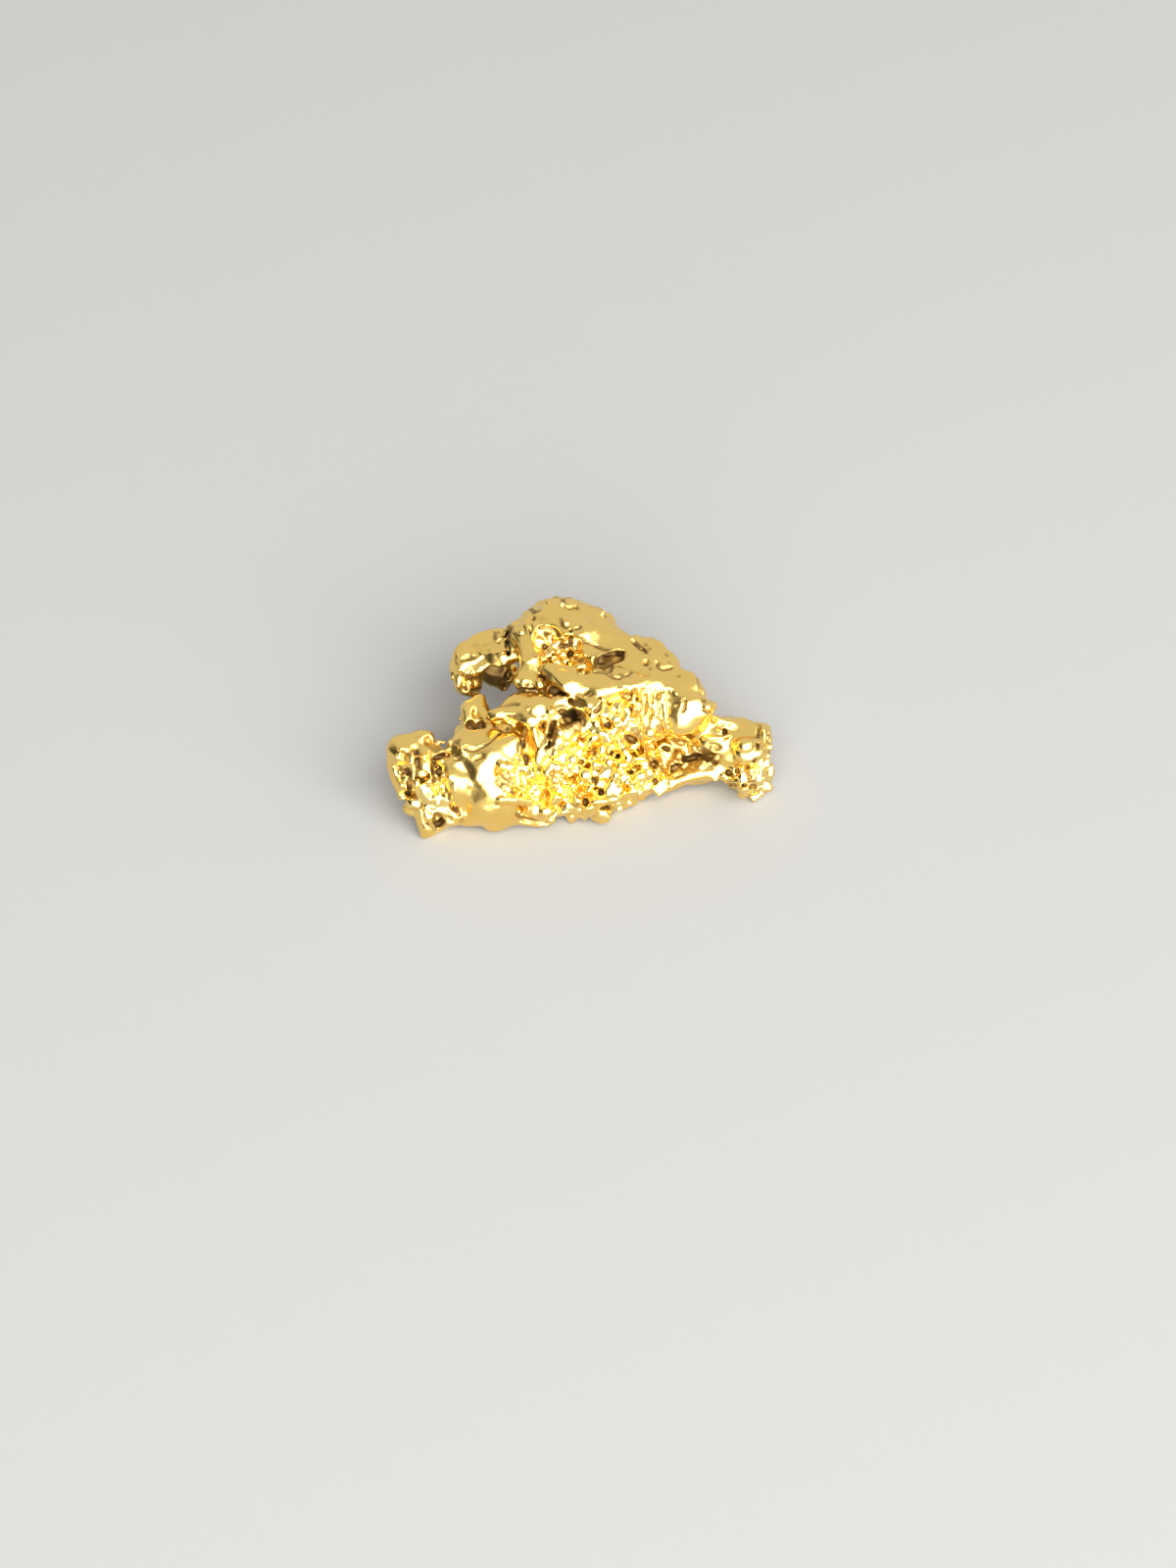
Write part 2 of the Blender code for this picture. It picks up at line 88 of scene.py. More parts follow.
# A ball is (place, radii), a bar is (start, end, radius at the start, radius at the end).
lumps = {
    "body": (
        ((0.45, 0.42, 1.25), (1.80, 1.25, 1.15)), ((-1.40, -0.95, 0.95), (1.20, 1.00, 0.90)),
        ((-0.55, 0.85, 1.35), (0.90, 0.80, 1.25)), ((2.15, -0.62, 0.62), (1.25, 0.80, 0.58)),
    ),
    "feet": (
        ((0.30, -1.10, 0.42), (0.80, 0.70, 0.55)), ((-3.30, -2.36, 0.26), (0.40, 0.38, 0.36)),
        ((-1.00, -2.10, 0.26), (0.42, 0.38, 0.36)), ((1.10, -1.72, 0.24), (0.36, 0.34, 0.34)),
        ((3.85, -1.50, 0.24), (0.38, 0.34, 0.30)), ((-0.50, 0.42, 0.30), (0.55, 0.50, 0.42)),
        ((1.80, -0.40, 0.28), (0.50, 0.45, 0.40)),
    ),
    "top": (
        ((-0.43, 2.02, 2.74), (0.98, 0.98, 0.40)), ((0.26, 1.85, 2.66), (0.60, 0.76, 0.35)),
        ((-0.40, 1.62, 2.10), (0.85, 0.75, 0.75)), ((0.35, 1.72, 2.43), (1.35, 1.36, 2.33), 0.44, 0.40),
        ((1.35, 1.36, 2.33), (1.96, 0.84, 2.16), 0.40, 0.42), ((0.40, 1.45, 2.66), (0.75, 1.15, 0.24)),
        ((1.25, 1.26, 2.56), (0.80, 0.80, 0.22)), ((1.80, 1.12, 2.46), (0.50, 0.44, 0.22)),
        ((2.20, 0.80, 2.40), (0.50, 0.26, 0.22)), ((-1.41, 1.85, 2.44), (-1.17, 1.28, 2.58), 0.32, 0.26),
        ((-1.17, 1.28, 2.58), (-1.28, 0.80, 2.46), 0.26, 0.30), ((-1.20, 0.66, 2.42), (0.30, 0.28, 0.28)),
        ((-0.98, 0.72, 2.66), (0.12, 0.11, 0.11)), ((0.52, 2.27, 2.64), (0.13, 0.12, 0.12)),
    ),
    "corner": (
        ((2.12, 0.50, 2.05), (0.76, 0.56, 0.50)), ((1.62, 0.05, 1.85), (0.62, 0.50, 0.74)),
        ((2.40, -0.02, 1.80), (0.66, 0.52, 0.74)), ((2.60, -0.25, 1.60), (2.98, -0.42, 1.45), 0.30, 0.16),
        ((1.10, -0.18, 1.95), (1.52, -0.78, 1.15), 0.10, 0.11),
        ((2.98, 0.22, 2.10), (2.72, 0.08, 2.00), 0.11, 0.10),
        ((1.30, 0.60, 2.60), (2.55, 0.62, 2.40), 0.17, 0.16),
    ),
    "ledge": (
        ((-0.84, 0.98, 2.72), (-0.25, 0.66, 2.80), 0.14, 0.18),
        ((-0.25, 0.66, 2.80), (0.45, 0.56, 2.76), 0.17, 0.17),
        ((0.45, 0.56, 2.76), (1.55, 0.66, 2.56), 0.17, 0.18),
        ((-0.45, 0.36, 2.60), (0.35, 0.20, 2.56), 0.11, 0.13), ((0.45, 0.78, 2.77), (0.95, 0.40, 0.17)),
    ),
    "hook": (
        ((-1.62, 1.58, 2.02), (-2.20, 1.44, 1.96), 0.36, 0.34),
        ((-2.20, 1.44, 1.96), (-2.74, 1.12, 1.78), 0.34, 0.36), ((-1.88, 1.59, 2.26), (0.62, 0.52, 0.26)),
        ((-2.46, 1.32, 2.10), (0.54, 0.46, 0.24)), ((-2.72, 1.10, 1.78), (-2.70, 0.72, 1.55), 0.36, 0.33),
        ((-1.95, 1.00, 1.30), (0.50, 0.26, 0.42)),
    ),
    "leaf": (
        ((-1.28, 0.14, 2.36), (0.62, 0.46, 0.20)), ((-2.08, -0.04, 2.32), (-1.62, 0.02, 2.36), 0.11, 0.17),
        ((-0.80, 0.14, 2.38), (0.42, 0.32, 0.24)), ((-2.04, -0.08, 2.24), (-1.62, -0.28, 2.12), 0.10, 0.12),
        ((-1.00, -0.12, 2.26), (-0.88, -1.32, 1.35), 0.20, 0.27),
    ),
    "ear": (
        ((-2.70, -0.66, 1.72), (-2.62, 0.04, 1.95), 0.19, 0.16),
        ((-2.62, 0.04, 1.95), (-2.38, 0.33, 2.02), 0.15, 0.12),
        ((-2.40, 0.32, 2.00), (-2.22, -0.10, 1.90), 0.13, 0.13),
        ((-2.22, -0.12, 1.90), (-2.10, -0.62, 1.72), 0.13, 0.18), ((-2.48, -0.42, 1.60), (0.44, 0.20, 0.36)),
    ),
    "face": (
        ((0.30, -0.42, 1.35), (1.25, 0.72, 1.20)), ((0.35, -1.30, 0.66), (1.35, 0.84, 0.68)),
        ((-0.62, -1.32, 0.85), (0.80, 0.70, 0.86)), ((-0.78, -0.92, 1.30), (0.66, 0.50, 0.90)),
        ((1.32, -1.22, 0.60), (0.46, 0.45, 0.50)), ((0.90, -0.05, 1.90), (0.50, 0.40, 0.55)),
        ((-1.08, -2.28, 0.36), (0.48, 0.34, 0.34)), ((0.10, -1.98, 0.36), (1.10, -1.80, 0.42), 0.22, 0.18),
        ((-0.60, -2.24, 0.32), (0.60, -2.08, 0.34), 0.20, 0.20),
        ((-2.05, -2.40, 0.36), (-1.50, -2.38, 0.36), 0.28, 0.22),
    ),
    "lobe": (
        ((-2.10, -1.15, 1.40), (-2.02, -1.93, 0.75), 0.72, 0.76), ((-2.45, -0.86, 1.72), (0.62, 0.50, 0.34)),
        ((-1.68, -0.72, 1.86), (0.34, 0.34, 0.30)), ((-1.36, -1.72, 0.80), (0.50, 0.50, 0.70)),
        ((-2.90, -1.60, 0.92), (0.60, 0.70, 0.90)),
    ),
    "leftEnd": (
        ((-4.05, -0.82, 1.72), (0.42, 0.42, 0.36)), ((-4.02, -0.78, 1.86), (0.42, 0.44, 0.18)),
        ((-3.58, -0.66, 1.80), (0.28, 0.30, 0.26)), ((-3.55, -1.42, 1.05), (0.66, 0.70, 0.82)),
        ((-3.98, -0.98, 1.66), (-3.90, -1.42, 1.22), 0.22, 0.20),
        ((-3.62, -0.88, 1.72), (-3.60, -1.30, 1.38), 0.20, 0.20),
        ((-4.26, -1.12, 1.38), (-4.05, -1.72, 0.90), 0.24, 0.24), ((-3.50, -1.62, 1.20), (0.30, 0.36, 0.34)),
        ((-3.78, -1.80, 0.92), (-3.50, -2.56, 0.30), 0.24, 0.24),
        ((-3.28, -1.72, 1.12), (-3.22, -2.36, 0.50), 0.20, 0.24),
        ((-2.92, -1.32, 1.48), (-2.92, -2.32, 0.55), 0.15, 0.24), ((-3.40, -2.05, 0.55), (0.62, 0.55, 0.55)),
        ((-2.62, -2.34, 0.34), (0.42, 0.30, 0.30)),
    ),
    "rightArm": (
        ((2.95, -0.62, 1.20), (3.85, -0.78, 1.15), 0.44, 0.52),
        ((3.00, -0.12, 1.64), (4.16, -0.44, 1.47), 0.22, 0.25), ((3.86, -0.84, 1.56), (0.42, 0.38, 0.31)),
        ((4.30, -0.66, 1.34), (4.10, -1.36, 0.70), 0.18, 0.20), ((3.88, -1.30, 0.62), (0.52, 0.48, 0.52)),
        ((3.70, -1.58, 0.38), (0.20, 0.20, 0.18)), ((4.16, -1.62, 0.30), (0.17, 0.18, 0.18)),
        ((3.25, -1.05, 0.72), (0.50, 0.36, 0.42)),
    ),
    "shelf": (
        ((1.50, -1.52, 0.62), (2.05, -1.58, 0.66), 0.20, 0.15),
        ((2.05, -1.58, 0.66), (2.75, -1.30, 0.76), 0.15, 0.17),
        ((2.75, -1.30, 0.76), (3.45, -1.25, 0.72), 0.17, 0.26), ((2.40, -1.14, 0.50), (0.95, 0.52, 0.30)),
        ((1.90, -1.38, 0.46), (0.62, 0.44, 0.28)), ((2.95, -1.02, 0.58), (0.60, 0.44, 0.32)),
    ),
}

hollows = {
    "top": (
        ((-0.76, 1.68, 2.94), (-0.02, 1.10, 2.88), 0.38, 0.33), ((-0.36, 1.42, 2.72), (0.40, 0.38, 0.40)),
        ((-0.74, 1.38, 2.90), (0.32, 0.46, 0.50)),
    ),
    "roofHollow": (((0.48, 1.20, 2.80), (0.86, 1.38, 2.78), 0.21, 0.13),),
    "underLedge": (
        ((-0.12, 0.08, 2.24), (0.36, 0.74, 0.19)), ((-0.50, 0.55, 2.60), (0.10, 0.40, 2.62), 0.05, 0.06),
    ),
    "crevices": (
        ((-1.70, 2.10, 2.85), (-1.66, 1.40, 2.15), 0.09, 0.11),
        ((-0.92, 1.02, 3.05), (-0.72, 0.60, 2.62), 0.07, 0.10),
        ((-0.68, -0.20, 2.35), (-0.66, -0.82, 1.85), 0.09, 0.13), ((-1.36, -0.78, 2.12), (0.10, 0.20, 0.26)),
        ((-3.22, -0.86, 1.96), (0.22, 0.30, 0.18)), ((-3.80, -0.92, 1.92), (-3.76, -1.46, 1.42), 0.06, 0.08),
        ((-3.38, -0.98, 1.86), (-3.28, -1.60, 1.42), 0.07, 0.09),
    ),
    "pockets": (
        ((-2.02, 0.96, 1.95), (0.40, 0.36, 0.30)), ((2.20, -0.98, 1.15), (0.72, 0.46, 0.30)),
        ((2.95, -0.85, 1.20), (0.34, 0.30, 0.20)), ((1.24, -0.52, 1.82), (0.17, 0.30, 0.12)),
        ((3.36, -0.42, 1.95), (0.15, 0.17, 0.16)), ((3.42, -1.06, 1.40), (0.24, 0.26, 0.26)),
        ((-3.32, -2.50, 0.46), (0.15, 0.28, 0.18)), ((-2.60, -0.32, 1.92), (0.12, 0.14, 0.14)),
        ((-2.30, -0.30, 1.92), (0.09, 0.12, 0.14)),
    ),
}

# Small features, placed where the viewer sees them on the skin, in mm across and up, cut or added in this order.
# holes: (across, up, half width, half height, depth, tilt in degrees)    pits: (across, up, radius)
# cracks and ridges: (radius, (across, up), (across, up), ...)
# beads: (across, up, half width, half height, tilt in degrees)
details = {
    "holes": {
        "dome": ((-1.17, 1.95, 0.059, 0.125, 0.068, 0),),
        "slope": (
            (0.59, 1.34, 0.239, 0.105, 0.136, -4), (0.47, 1.23, 0.114, 0.082, 0.114, 0),
            (1.5, 1.2, 0.077, 0.1, 0.091, 0),
        ),
        "hook": (
            (-2.64, 1.31, 0.205, 0.082, 0.091, 12), (-2.03, 1.02, 0.307, 0.284, 0.205, -25),
            (-1.83, 0.73, 0.091, 0.148, 0.091, -15),
        ),
        "leaf": ((-1.91, -0.16, 0.159, 0.043, 0.091, 6),),
        "pocket": (
            (-0.23, -0.01, 0.25, 0.127, 0.273, 10), (-0.43, 0.06, 0.114, 0.082, 0.227, 0),
            (-0.69, -0.65, 0.073, 0.136, 0.136, -15),
        ),
        "slot": ((-1.34, -0.65, 0.091, 0.193, 0.159, 8),),
        "lobe": ((-1.76, -1.56, 0.182, 0.216, 0.091, -30), (-1.57, -1.78, 0.114, 0.077, 0.068, 0)),
        "leftEnd": (
            (-3.55, -0.62, 0.105, 0.127, 0.159, 0), (-3.26, -0.98, 0.227, 0.066, 0.136, 6),
            (-3.24, -1.33, 0.1, 0.123, 0.136, 0), (-4.12, -0.97, 0.068, 0.114, 0.091, 0),
            (-3.79, -0.98, 0.059, 0.123, 0.091, 4), (-4.03, -1.32, 0.073, 0.086, 0.114, 0),
            (-3.49, -1.89, 0.1, 0.136, 0.114, 0), (-3.11, -1.85, 0.091, 0.223, 0.159, 0),
            (-3.31, -2.47, 0.1, 0.173, 0.182, 28),
        ),
        "bottom": ((0.08, -2.03, 0.059, 0.105, 0.091, 0),),
        "grains": (
            (0.27, -0.89, 0.091, 0.091, 0.114, 0), (0.66, -0.83, 0.082, 0.127, 0.114, 0),
            (0.85, -0.97, 0.077, 0.068, 0.114, 0), (0.4, -1.26, 0.068, 0.082, 0.114, 0),
            (-0.01, -1.1, 0.1, 0.068, 0.114, 0), (0.3, -1.56, 0.082, 0.1, 0.114, 0),
            (1.14, -1.35, 0.077, 0.068, 0.114, 0), (-0.03, -0.61, 0.068, 0.114, 0.114, 0),
            (0.62, -0.25, 0.077, 0.082, 0.114, 0), (-0.43, -1.34, 0.091, 0.068, 0.114, 0),
            (-0.02, -1.89, 0.1, 0.068, 0.114, 0), (0.47, -1.82, 0.068, 0.091, 0.114, 0),
            (-0.67, -1.38, 0.068, 0.082, 0.114, 0),
        ),
        "strut": ((1.18, -0.58, 0.182, 0.1, 0.205, -32),),
        "recess": (
            (2.0, -0.8, 0.15, 0.055, 0.136, -16), (2.58, -1.01, 0.261, 0.082, 0.205, 14),
            (2.22, -1.2, 0.145, 0.064, 0.136, 12), (1.69, -1.17, 0.077, 0.145, 0.182, 0),
            (1.72, -1.55, 0.064, 0.082, 0.114, 0),
        ),
        "arm": (
            (3.08, -0.14, 0.082, 0.077, 0.091, 0), (3.33, -0.41, 0.068, 0.091, 0.159, 8),
            (3.07, -0.76, 0.205, 0.1, 0.091, -4), (3.18, -1.03, 0.239, 0.127, 0.091, -3),
            (3.62, -1.32, 0.068, 0.068, 0.136, 0), (3.43, -1.35, 0.1, 0.077, 0.114, 10),
            (3.99, -1.68, 0.105, 0.059, 0.114, 0),
        ),
    },
    "pits": {
        "dome": ((-1.42, 2.28, 0.05), (0.55, 2.28, 0.039)),
        "topHollow": (
            (-0.84, 1.57, 0.068), (-0.51, 1.53, 0.073), (-0.25, 1.41, 0.068), (-0.82, 1.88, 0.059),
            (-0.36, 1.58, 0.064), (0.0, 1.25, 0.064), (-1.06, 1.38, 0.05), (-1.55, 1.47, 0.041),
        ),
        "slope": (
            (0.91, 1.1, 0.034), (0.91, 0.93, 0.03), (0.45, 1.1, 0.041), (1.5, 1.62, 0.034), (1.59, 1.53, 0.036),
            (1.98, 1.38, 0.043), (1.6, 1.06, 0.036), (2.05, 1.19, 0.027), (2.27, 0.89, 0.032),
        ),
        "ledge": ((0.12, 0.52, 0.041), (-1.27, 0.7, 0.055)),
        "hook": ((-2.61, 0.89, 0.041), (-2.47, 0.8, 0.039), (-2.74, 0.91, 0.039)),
        "leaf": ((-0.56, 0.27, 0.034), (-0.9, -0.27, 0.05)),
        "slot": ((-1.41, -1.1, 0.045),),
        "lobe": (
            (-2.84, -0.6, 0.045), (-2.67, -0.73, 0.045), (-2.23, -0.67, 0.045), (-1.67, -1.59, 0.05),
            (-1.5, -1.64, 0.045), (-1.97, -2.15, 0.05),
        ),
        "leftEnd": ((-2.99, -0.68, 0.036), (-3.03, -1.48, 0.043), (-3.05, -2.44, 0.041), (-2.88, -2.66, 0.055)),
        "strut": ((1.1, -0.29, 0.039),),
        "corner": ((2.22, 0.19, 0.041), (2.95, 0.05, 0.041)),
        "arm": ((3.15, -0.27, 0.041), (3.29, -0.24, 0.041), (3.44, -0.24, 0.034)),
    },
    "cracks": {
        "dome": (
            (0.036, (-1.25, 2.43), (-1.18, 2.45), (-1.08, 2.37), (-0.98, 2.4)),
            (0.034, (-1.08, 2.37), (-1.1, 2.2)),
            (0.036, (-0.43, 2.67), (-0.38, 2.51), (-0.29, 2.45), (-0.11, 2.51), (-0.09, 2.45)),
            (0.034, (-0.47, 2.22), (-0.43, 2.07), (-0.34, 2.01)),
        ),
        "topHollow": (
            (0.045, (-0.96, 2.02), (-0.78, 2.03), (-0.63, 1.99), (-0.5, 1.87), (-0.44, 1.71), (-0.47, 1.59)),
            (0.045, (-0.24, 1.94), (-0.22, 1.77), (-0.28, 1.62)), (0.034, (-0.14, 1.99), (-0.02, 2.02)),
        ),
        "slope": (
            (0.055, (0.93, 1.41), (0.75, 1.4), (0.55, 1.39)),
            (0.039, (-0.02, 1.8), (0.11, 1.68), (0.33, 1.59), (0.6, 1.48), (0.91, 1.41), (1.0, 1.45)),
            (0.032, (-0.07, 0.94), (0.11, 0.96), (0.3, 0.98), (0.54, 0.97), (0.72, 0.86), (0.88, 0.83),
             (1.09, 0.92), (1.18, 0.99)),
            (0.036, (0.72, 1.12), (0.67, 0.98)), (0.05, (1.22, 1.67), (1.33, 1.58), (1.42, 1.5)),
            (0.036, (1.42, 1.5), (1.52, 1.43)), (0.045, (1.75, 1.19), (1.79, 1.1), (1.91, 1.04), (2.07, 1.08)),
        ),
        "ledge": (
            (0.055, (-0.92, 1.03), (-0.93, 0.89), (-0.81, 0.74)),
            (0.095, (-0.81, 0.72), (-0.69, 0.56), (-0.47, 0.44)),
            (0.077, (-0.47, 0.44), (-0.23, 0.3), (-0.02, 0.23)),
            (0.03, (-0.61, 0.64), (-0.39, 0.48), (-0.14, 0.35)),
            (0.03, (0.02, 0.45), (0.14, 0.48), (0.23, 0.42)),
            (0.077, (-1.57, 0.56), (-1.32, 0.56), (-1.05, 0.55)),
            (0.055, (0.41, 0.36), (0.45, 0.18), (0.32, 0.05)),
        ),
        "hook": (
            (0.03, (-1.99, 1.89), (-2.0, 1.75), (-1.91, 1.64)), (0.073, (-1.7, 2.03), (-1.68, 1.87)),
            (0.055, (-1.68, 1.87), (-1.72, 1.65), (-1.69, 1.41)),
            (0.064, (-1.69, 1.41), (-1.62, 1.1), (-1.72, 0.86), (-1.78, 0.61)),
            (0.041, (-2.7, 0.61), (-2.48, 0.53), (-2.32, 0.61)),
        ),
        "leaf": (
            (0.03, (-1.25, 0.16), (-1.17, 0.02), (-1.05, -0.05)),
            (0.027, (-1.77, 0.16), (-1.61, 0.23), (-1.43, 0.22)),
            (0.027, (-1.73, -0.04), (-1.57, -0.02), (-1.41, -0.05)),
        ),
        "pocket": ((0.059, (-0.62, -0.19), (-0.72, -0.43), (-0.8, -0.77)),),
        "slot": ((0.034, (-1.28, -0.98), (-1.25, -1.14), (-1.33, -1.25)),),
        "lobe": (
            (0.034, (-2.91, -0.64), (-2.73, -0.79), (-2.48, -0.85), (-2.18, -0.7), (-1.93, -0.49), (-1.69, -0.34)),
            (0.032, (-2.93, -1.04), (-2.82, -1.05)), (0.039, (-2.44, -1.05), (-2.36, -1.01), (-2.28, -0.99)),
        ),
        "leftEnd": (
            (0.041, (-3.3, -0.78), (-3.1, -0.74)), (0.045, (-3.44, -1.07), (-3.39, -1.23), (-3.32, -1.39)),
            (0.05, (-4.33, -1.18), (-4.2, -1.24), (-4.07, -1.36), (-3.94, -1.4)),
            (0.055, (-3.99, -1.52), (-3.97, -1.68), (-4.02, -1.86)),
            (0.036, (-3.51, -1.39), (-3.4, -1.48), (-3.45, -1.57)),
            (0.039, (-3.69, -2.11), (-3.67, -2.34), (-3.58, -2.57)),
            (0.039, (-2.94, -2.16), (-2.85, -2.34), (-2.77, -2.52)),
        ),
        "bottom": (
            (0.043, (-1.51, -2.35), (-1.33, -2.43), (-1.09, -2.49), (-0.84, -2.51)),
            (0.039, (-0.61, -2.11), (-0.34, -2.15), (-0.07, -2.09)),
            (0.034, (0.22, -2.16), (0.44, -2.19), (0.67, -2.14)),
        ),
        "corner": (
            (0.034, (2.3, 0.36), (2.4, 0.31), (2.42, 0.18), (2.35, 0.06)),
            (0.041, (2.83, 0.34), (2.85, 0.11), (2.98, 0.02)),
        ),
        "recess": ((0.034, (1.99, -1.6), (2.2, -1.46), (2.45, -1.34)),),
        "arm": (
            (0.039, (4.13, -0.27), (4.11, -0.52), (4.09, -0.75), (4.01, -1.06), (3.85, -1.23)),
            (0.032, (4.33, -0.41), (4.36, -0.61), (4.33, -0.77)), (0.03, (4.27, -0.86), (4.43, -0.89)),
            (0.039, (3.18, -1.62), (3.43, -1.64), (3.75, -1.65), (3.98, -1.56)),
        ),
    },
    "ridges": {
        "dome": (
            (0.041, (-1.27, 2.23), (-1.28, 2.09), (-1.23, 1.9)),
            (0.036, (-1.11, 2.16), (-1.08, 2.0), (-1.14, 1.84)),
        ),
        "ledge": (
            (0.043, (-0.78, 0.88), (-0.57, 0.7), (-0.35, 0.55), (-0.14, 0.43), (0.11, 0.35), (0.36, 0.41)),
        ),
        "hook": (
            (0.041, (-2.53, 1.38), (-2.41, 1.42), (-2.27, 1.46), (-2.11, 1.53)),
            (0.045, (-2.8, 1.14), (-2.72, 1.18), (-2.48, 1.24), (-2.3, 1.35), (-2.09, 1.41), (-1.84, 1.42)),
            (0.039, (-2.67, 0.98), (-2.69, 0.84), (-2.65, 0.68)),
            (0.041, (-2.54, 0.95), (-2.55, 0.8), (-2.57, 0.64)),
            (0.043, (-2.42, 1.01), (-2.38, 0.86), (-2.4, 0.67)),
            (0.036, (-2.11, 0.67), (-1.93, 0.72), (-1.82, 0.89)),
        ),
        "leaf": (
            (0.036, (-1.68, 0.22), (-1.84, 0.12), (-1.99, 0.0)),
            (0.045, (-2.1, -0.1), (-1.95, -0.04), (-1.8, -0.06), (-1.73, -0.14)),
            (0.05, (-0.9, -0.1), (-0.95, -0.25), (-1.08, -0.4)),
        ),
        "pocket": ((0.045, (-0.72, -0.09), (-0.83, -0.36), (-0.91, -0.64)),),
        "pillar": (
            (0.073, (-0.97, -0.84), (-1.05, -0.53), (-1.09, -0.34)),
            (0.059, (-0.92, -0.8), (-0.81, -0.43), (-0.75, -0.16)),
        ),
        "lobe": (
            (0.105, (-1.86, -2.03), (-1.57, -2.02), (-1.18, -2.04)),
            (0.077, (-1.36, -1.43), (-1.3, -1.61), (-1.35, -1.75)),
        ),
        "leftEnd": (
            (0.052, (-3.4, -0.92), (-3.25, -0.85), (-3.08, -0.81)),
            (0.052, (-3.4, -1.15), (-3.24, -1.07), (-3.1, -0.99)),
            (0.05, (-4.34, -1.3), (-4.29, -1.45), (-4.17, -1.65)),
            (0.045, (-4.12, -1.53), (-4.07, -1.67), (-4.14, -1.82)),
            (0.05, (-3.83, -1.75), (-3.78, -1.89), (-3.73, -2.02)),
            (0.05, (-3.55, -1.55), (-3.43, -1.62), (-3.27, -1.56), (-3.2, -1.41)),
            (0.066, (-3.26, -1.7), (-3.3, -1.89), (-3.33, -2.11)),
            (0.045, (-2.93, -1.55), (-2.92, -1.8), (-2.95, -2.03)),
            (0.055, (-3.62, -2.25), (-3.56, -2.47), (-3.4, -2.71)),
            (0.043, (-3.44, -2.2), (-3.26, -2.23), (-3.08, -2.38)),
            (0.045, (-3.26, -2.67), (-3.12, -2.56), (-2.97, -2.58)),
        ),
        "bottom": ((0.055, (-1.41, -2.54), (-1.09, -2.59), (-0.75, -2.56)),),
        "grains": ((0.109, (0.81, -1.4), (0.73, -1.59), (0.63, -1.77)),),
        "strut": (
            (0.059, (0.97, -0.23), (1.1, -0.24), (1.21, -0.28), (1.33, -0.52), (1.48, -0.76), (1.61, -0.84)),
        ),
        "recess": (
            (0.05, (1.76, -0.69), (1.91, -0.65), (2.06, -0.73), (2.13, -0.85)),
            (0.045, (1.9, -1.1), (1.92, -1.26), (1.91, -1.4)),
            (0.039, (1.78, -1.08), (1.79, -1.23), (1.77, -1.38)), (0.036, (2.16, -1.24), (2.3, -1.2)),
            (0.043, (1.87, -1.56), (2.18, -1.37), (2.33, -1.24), (2.43, -1.13)),
            (0.045, (2.54, -1.19), (2.85, -1.08)),
        ),
        "arm": (
            (0.055, (2.86, -0.54), (3.05, -0.55), (3.28, -0.55), (3.41, -0.49)),
            (0.043, (4.23, -0.34), (4.26, -0.5), (4.24, -0.66)),
            (0.059, (4.2, -1.06), (4.17, -1.22), (4.15, -1.4)),
            (0.041, (3.56, -1.19), (3.75, -1.11), (3.95, -1.04)),
            (0.045, (3.4, -1.56), (3.61, -1.55), (3.87, -1.51)),
        ),
    },
    "beads": {
        "dome": (
            (-0.76, 2.6, 0.059, 0.082, -15), (-0.45, 2.56, 0.091, 0.073, 20), (-1.39, 1.91, 0.073, 0.068, 0),
            (-0.35, 2.13, 0.086, 0.073, 30), (0.48, 2.34, 0.059, 0.123, -35),
        ),
        "topHollow": (
            (-0.35, 1.8, 0.064, 0.118, -8), (-0.98, 1.73, 0.095, 0.091, 0), (-0.73, 1.71, 0.059, 0.064, 0),
            (-0.69, 1.58, 0.059, 0.068, 0), (-0.67, 1.45, 0.066, 0.077, 0), (-0.55, 1.38, 0.064, 0.059, 0),
            (-0.66, 1.86, 0.064, 0.055, 0), (-0.12, 1.53, 0.109, 0.091, 15), (-1.08, 1.58, 0.059, 0.077, 0),
            (-0.94, 1.41, 0.068, 0.059, 0), (-0.05, 1.09, 0.159, 0.114, 25), (-0.39, 1.38, 0.059, 0.05, 0),
            (0.09, 1.39, 0.077, 0.059, 0), (-0.3, 1.26, 0.064, 0.05, 0), (-0.81, 1.28, 0.055, 0.045, 0),
            (-1.33, 1.23, 0.059, 0.05, 0), (-1.23, 1.24, 0.045, 0.045, 0),
        ),
        "slope": (
            (0.27, 1.33, 0.077, 0.073, 0), (1.16, 1.76, 0.064, 0.059, 0), (1.27, 1.82, 0.055, 0.05, 0),
            (1.44, 1.37, 0.077, 0.059, 0), (1.7, 1.17, 0.036, 0.068, 0), (2.2, 0.83, 0.077, 0.045, 0),
        ),
        "ledge": (
            (-0.96, 0.67, 0.118, 0.091, -10), (-1.49, 0.79, 0.091, 0.082, 0), (0.66, 0.35, 0.182, 0.15, 30),
            (0.93, 0.58, 0.059, 0.059, 0),
        ),
        "hook": (
            (-1.86, 1.91, 0.082, 0.059, 10), (-1.89, 1.76, 0.073, 0.064, 0), (-2.28, 1.43, 0.091, 0.055, 25),
            (-1.83, 1.43, 0.064, 0.059, 0), (-2.88, 1.39, 0.055, 0.077, -30), (-2.8, 1.06, 0.077, 0.1, -15),
            (-2.84, 0.76, 0.105, 0.191, 3), (-2.99, 0.89, 0.055, 0.105, 5), (-1.78, 1.18, 0.05, 0.055, 0),
        ),
        "leaf": (
            (-0.57, 0.28, 0.095, 0.095, 0), (-0.7, 0.07, 0.114, 0.105, 0), (-0.38, 0.39, 0.055, 0.045, 0),
            (-0.83, -0.07, 0.068, 0.082, 0),
        ),
        "pocket": ((-0.49, -0.43, 0.105, 0.132, 10),),
        "pillar": (
            (-0.99, -1.02, 0.123, 0.216, -4), (-0.69, -1.15, 0.086, 0.082, 0), (-1.01, -1.35, 0.064, 0.068, 0),
        ),
        "slot": (
